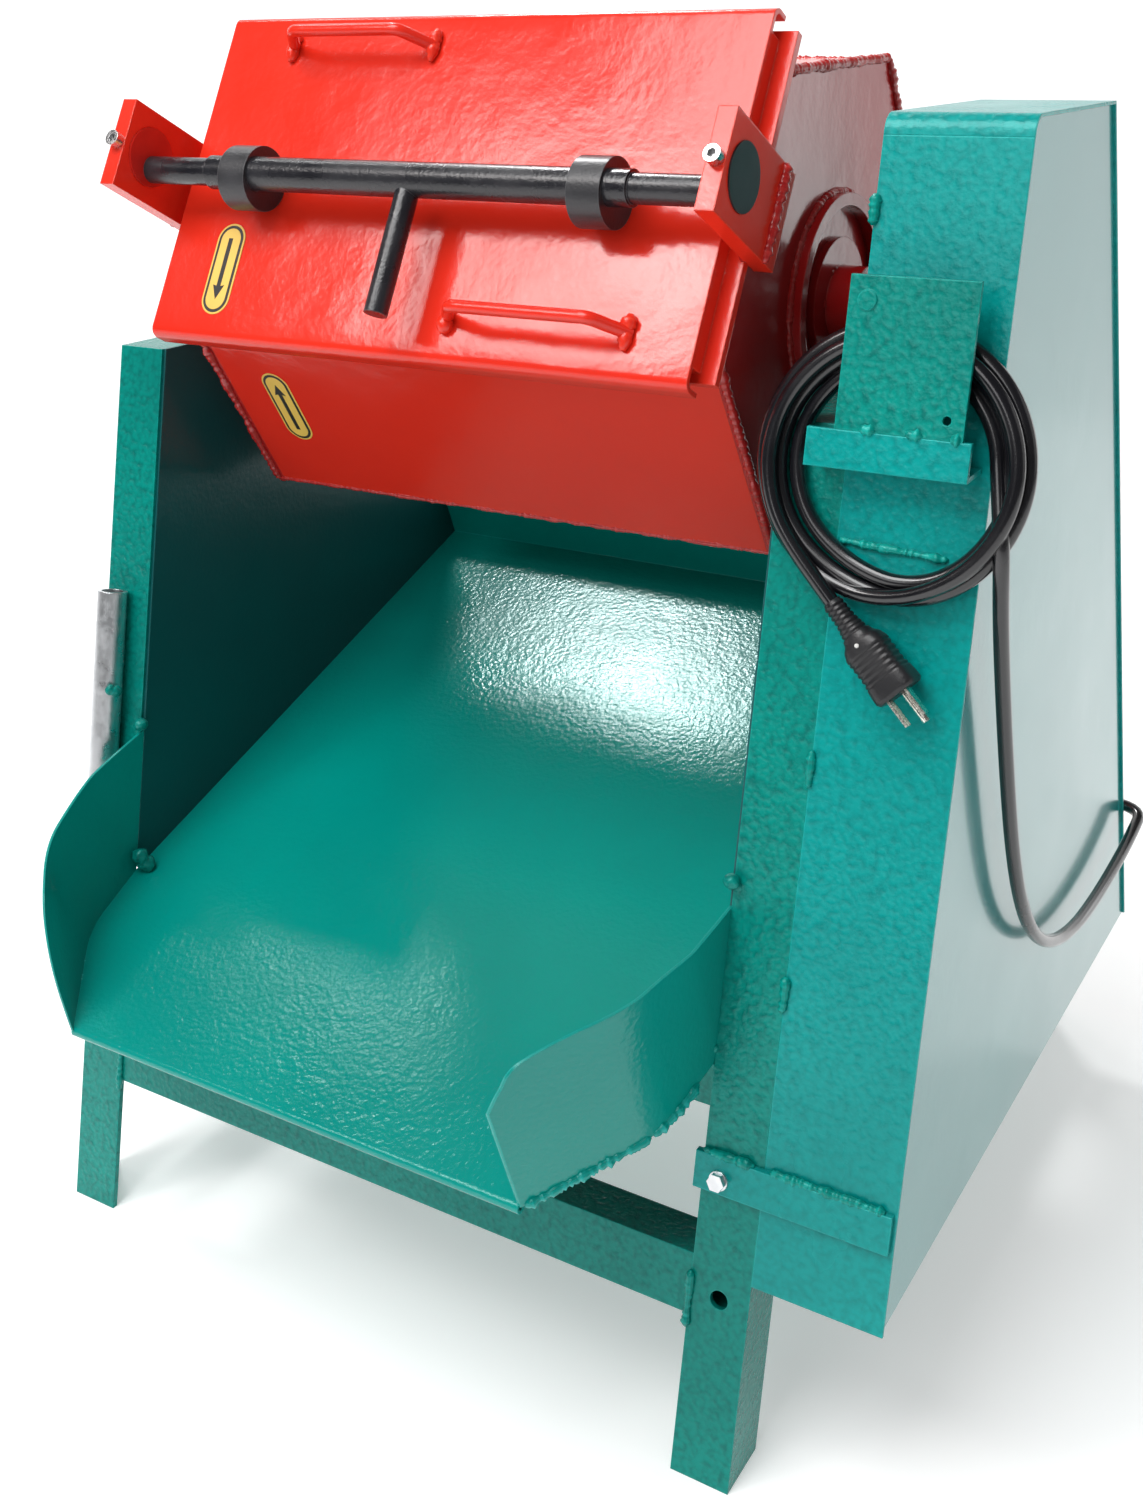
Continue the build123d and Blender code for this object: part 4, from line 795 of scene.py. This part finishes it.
guard_green = enamel("guard_green", (0.0, 0.300, 0.280), (0.0, 0.175, 0.165),
                     (0.03, 0.66, 0.62), 0.22, 0.00055, 0.0001, grain=250.0,
                     Specular_IOR_Level=0.50, Specular_Tint=(0.45, 1.0, 0.97, 1))
side_green = enamel("guard_side_green", (0.0, 0.235, 0.230), (0.0, 0.190, 0.190),
                    (0.10, 0.62, 0.60), 0.20, 0.00003, 0.00006,
                    Coat_Weight=0.8, Coat_Roughness=0.10)
wear(guard_green, "guard_front", "guard_top", "guard_back", "guard_inner", "hanger_bar",
     "low_strip")
wear(side_green, "guard_side")


# ---- Prop socket ----
# A length of galvanised pipe, welded upright on the chute's left, left open on top.

zinc = metal("galvanised", (0.86, 0.88, 0.90), (0.58, 0.60, 0.62), 0.26, 140, 0.00006)
wear(zinc, "pipe_socket", "frame_bolts")
blob("pipe_tack", (-0.2990, -0.2090, 0.4060), 0.0095, "root", "hammered_green", hammered_green, 61)


# ---- Drive ----
# Motor, worm gearbox and belt stand on a plate under the chute. Cast housings in
# grey machine paint, iron pulleys, a plain rubber belt.

grey = enamel("machine_grey", (0.16, 0.17, 0.18), (0.11, 0.12, 0.125), (0.32, 0.33, 0.34),
              0.34, 0.00030, 0.0003, grain=330.0)
wear(grey, "motor_body", "fan_cover", "gearbox")
wear(enamel("cast_iron", (0.075, 0.078, 0.080), (0.045, 0.046, 0.048), (0.20, 0.20, 0.21),
            0.42, 0.00045, 0.0004, grain=420.0), "bearing_housings", "drive_pulley", "drum_pulley")
wear(moulded("belt_rubber", (0.014, 0.014, 0.014), (0.03, 0.029, 0.028), 0.6, 0.00010),
     "drive_belt")


# ---- Studio ----
# A pale floor that runs up into a white wall, with large soft lights. The small ones
# are there for their reflections in the chute and the lid. The surroundings are dimmer
# in reflections than as fill, so that the paint keeps its depth.

FLOOR_NEAR, FLOOR_FAR, SWEEP = -3.2, 1.9, 1.1     # ends of the flat, and the bend's radius
WALL_TOP, FLOOR_HALF = 4.5, 5.5
floor_mesh = bmesh.new()
profile = [(FLOOR_NEAR, 0.0), (FLOOR_FAR, 0.0)]
profile += [(FLOOR_FAR + SWEEP * math.sin(a), SWEEP - SWEEP * math.cos(a))
            for a in (math.radians(10 * k) for k in range(1, 10))]
profile += [(FLOOR_FAR + SWEEP, WALL_TOP)]
turn = Matrix.Rotation(CAMERA_TURN, 3, "Z")
columns = [[floor_mesh.verts.new(turn @ Vector((x, y, z))) for y, z in profile]
           for x in (-FLOOR_HALF, FLOOR_HALF)]
for a, b, c, d in zip(columns[0], columns[0][1:], columns[1][1:], columns[1]):
    floor_mesh.faces.new((a, b, c, d))
backdrop_mesh = bpy.data.meshes.new("backdrop")
floor_mesh.to_mesh(backdrop_mesh)
floor_mesh.free()
for face in backdrop_mesh.polygons:
    face.use_smooth = True
backdrop = bpy.data.objects.new("backdrop", backdrop_mesh)
scene.collection.objects.link(backdrop)
paper, paper_tree, paper_shader = finish_of("studio_paper", Roughness=0.9, Specular_IOR_Level=0.1,
                                            Emission_Color=(1, 1, 1, 1), Emission_Strength=0.30)
grain = use(paper_tree, mottle, Patch=1.5, Speck=60.0)
paper_tree.links.new(
    blend_colour(paper_tree, grain["Patches"], (0.88, 0.88, 0.88), (0.84, 0.84, 0.84)),
    paper_shader.inputs["Base Color"])
backdrop_mesh.materials.append(paper)


def soft_light(name, way, distance, size, watts, colour=(1, 1, 1)):
    """A square light on the line that runs from the machine towards `way`."""
    lamp = bpy.data.lights.new(name, "AREA")
    lamp.shape, lamp.size, lamp.energy, lamp.color = "SQUARE", size, watts, colour
    stand = bpy.data.objects.new(name, lamp)
    scene.collection.objects.link(stand)
    way = Vector(way).normalized()
    stand.location = Vector((0, 0, 0.5)) + way * distance
    stand.rotation_euler = way.to_track_quat("Z", "Y").to_euler()


soft_light("overhead", (-0.15, -0.60, 1.0), 2.6, 1.5, 54)
soft_light("chute_sky", (-0.455, 0.395, 0.800), 3.2, 0.48, 32)
soft_light("lip_sky", (-0.605, 0.150, 0.780), 3.2, 0.25, 4)
soft_light("lid_sheen", (-0.47, -0.60, 0.64), 3.4, 0.75, 19, (1.0, 0.95, 0.93))
soft_light("front_fill", (-0.10, -1.0, 0.50), 3.4, 1.4, 14)
soft_light("right_wall", (1.0, 0.35, 0.35), 3.2, 2.2, 8)
soft_light("back_wall", (0.60, 0.80, 0.05), 3.0, 1.2, 6)
world = bpy.data.worlds.new("studio")
scene.world = world
world.use_nodes = True
sky = world.node_tree.nodes["Background"]
sky.inputs["Color"].default_value = (1, 1, 1, 1)
ray = world.node_tree.nodes.new("ShaderNodeLightPath")
strength = world.node_tree.nodes.new("ShaderNodeMapRange")
strength.inputs["To Min"].default_value = 0.36
strength.inputs["To Max"].default_value = 0.07
world.node_tree.links.new(ray.outputs["Is Glossy Ray"], strength.inputs["Value"])
world.node_tree.links.new(strength.outputs["Result"], sky.inputs["Strength"])
scene.view_settings.view_transform = "Standard"

bpy.context.view_layer.update()
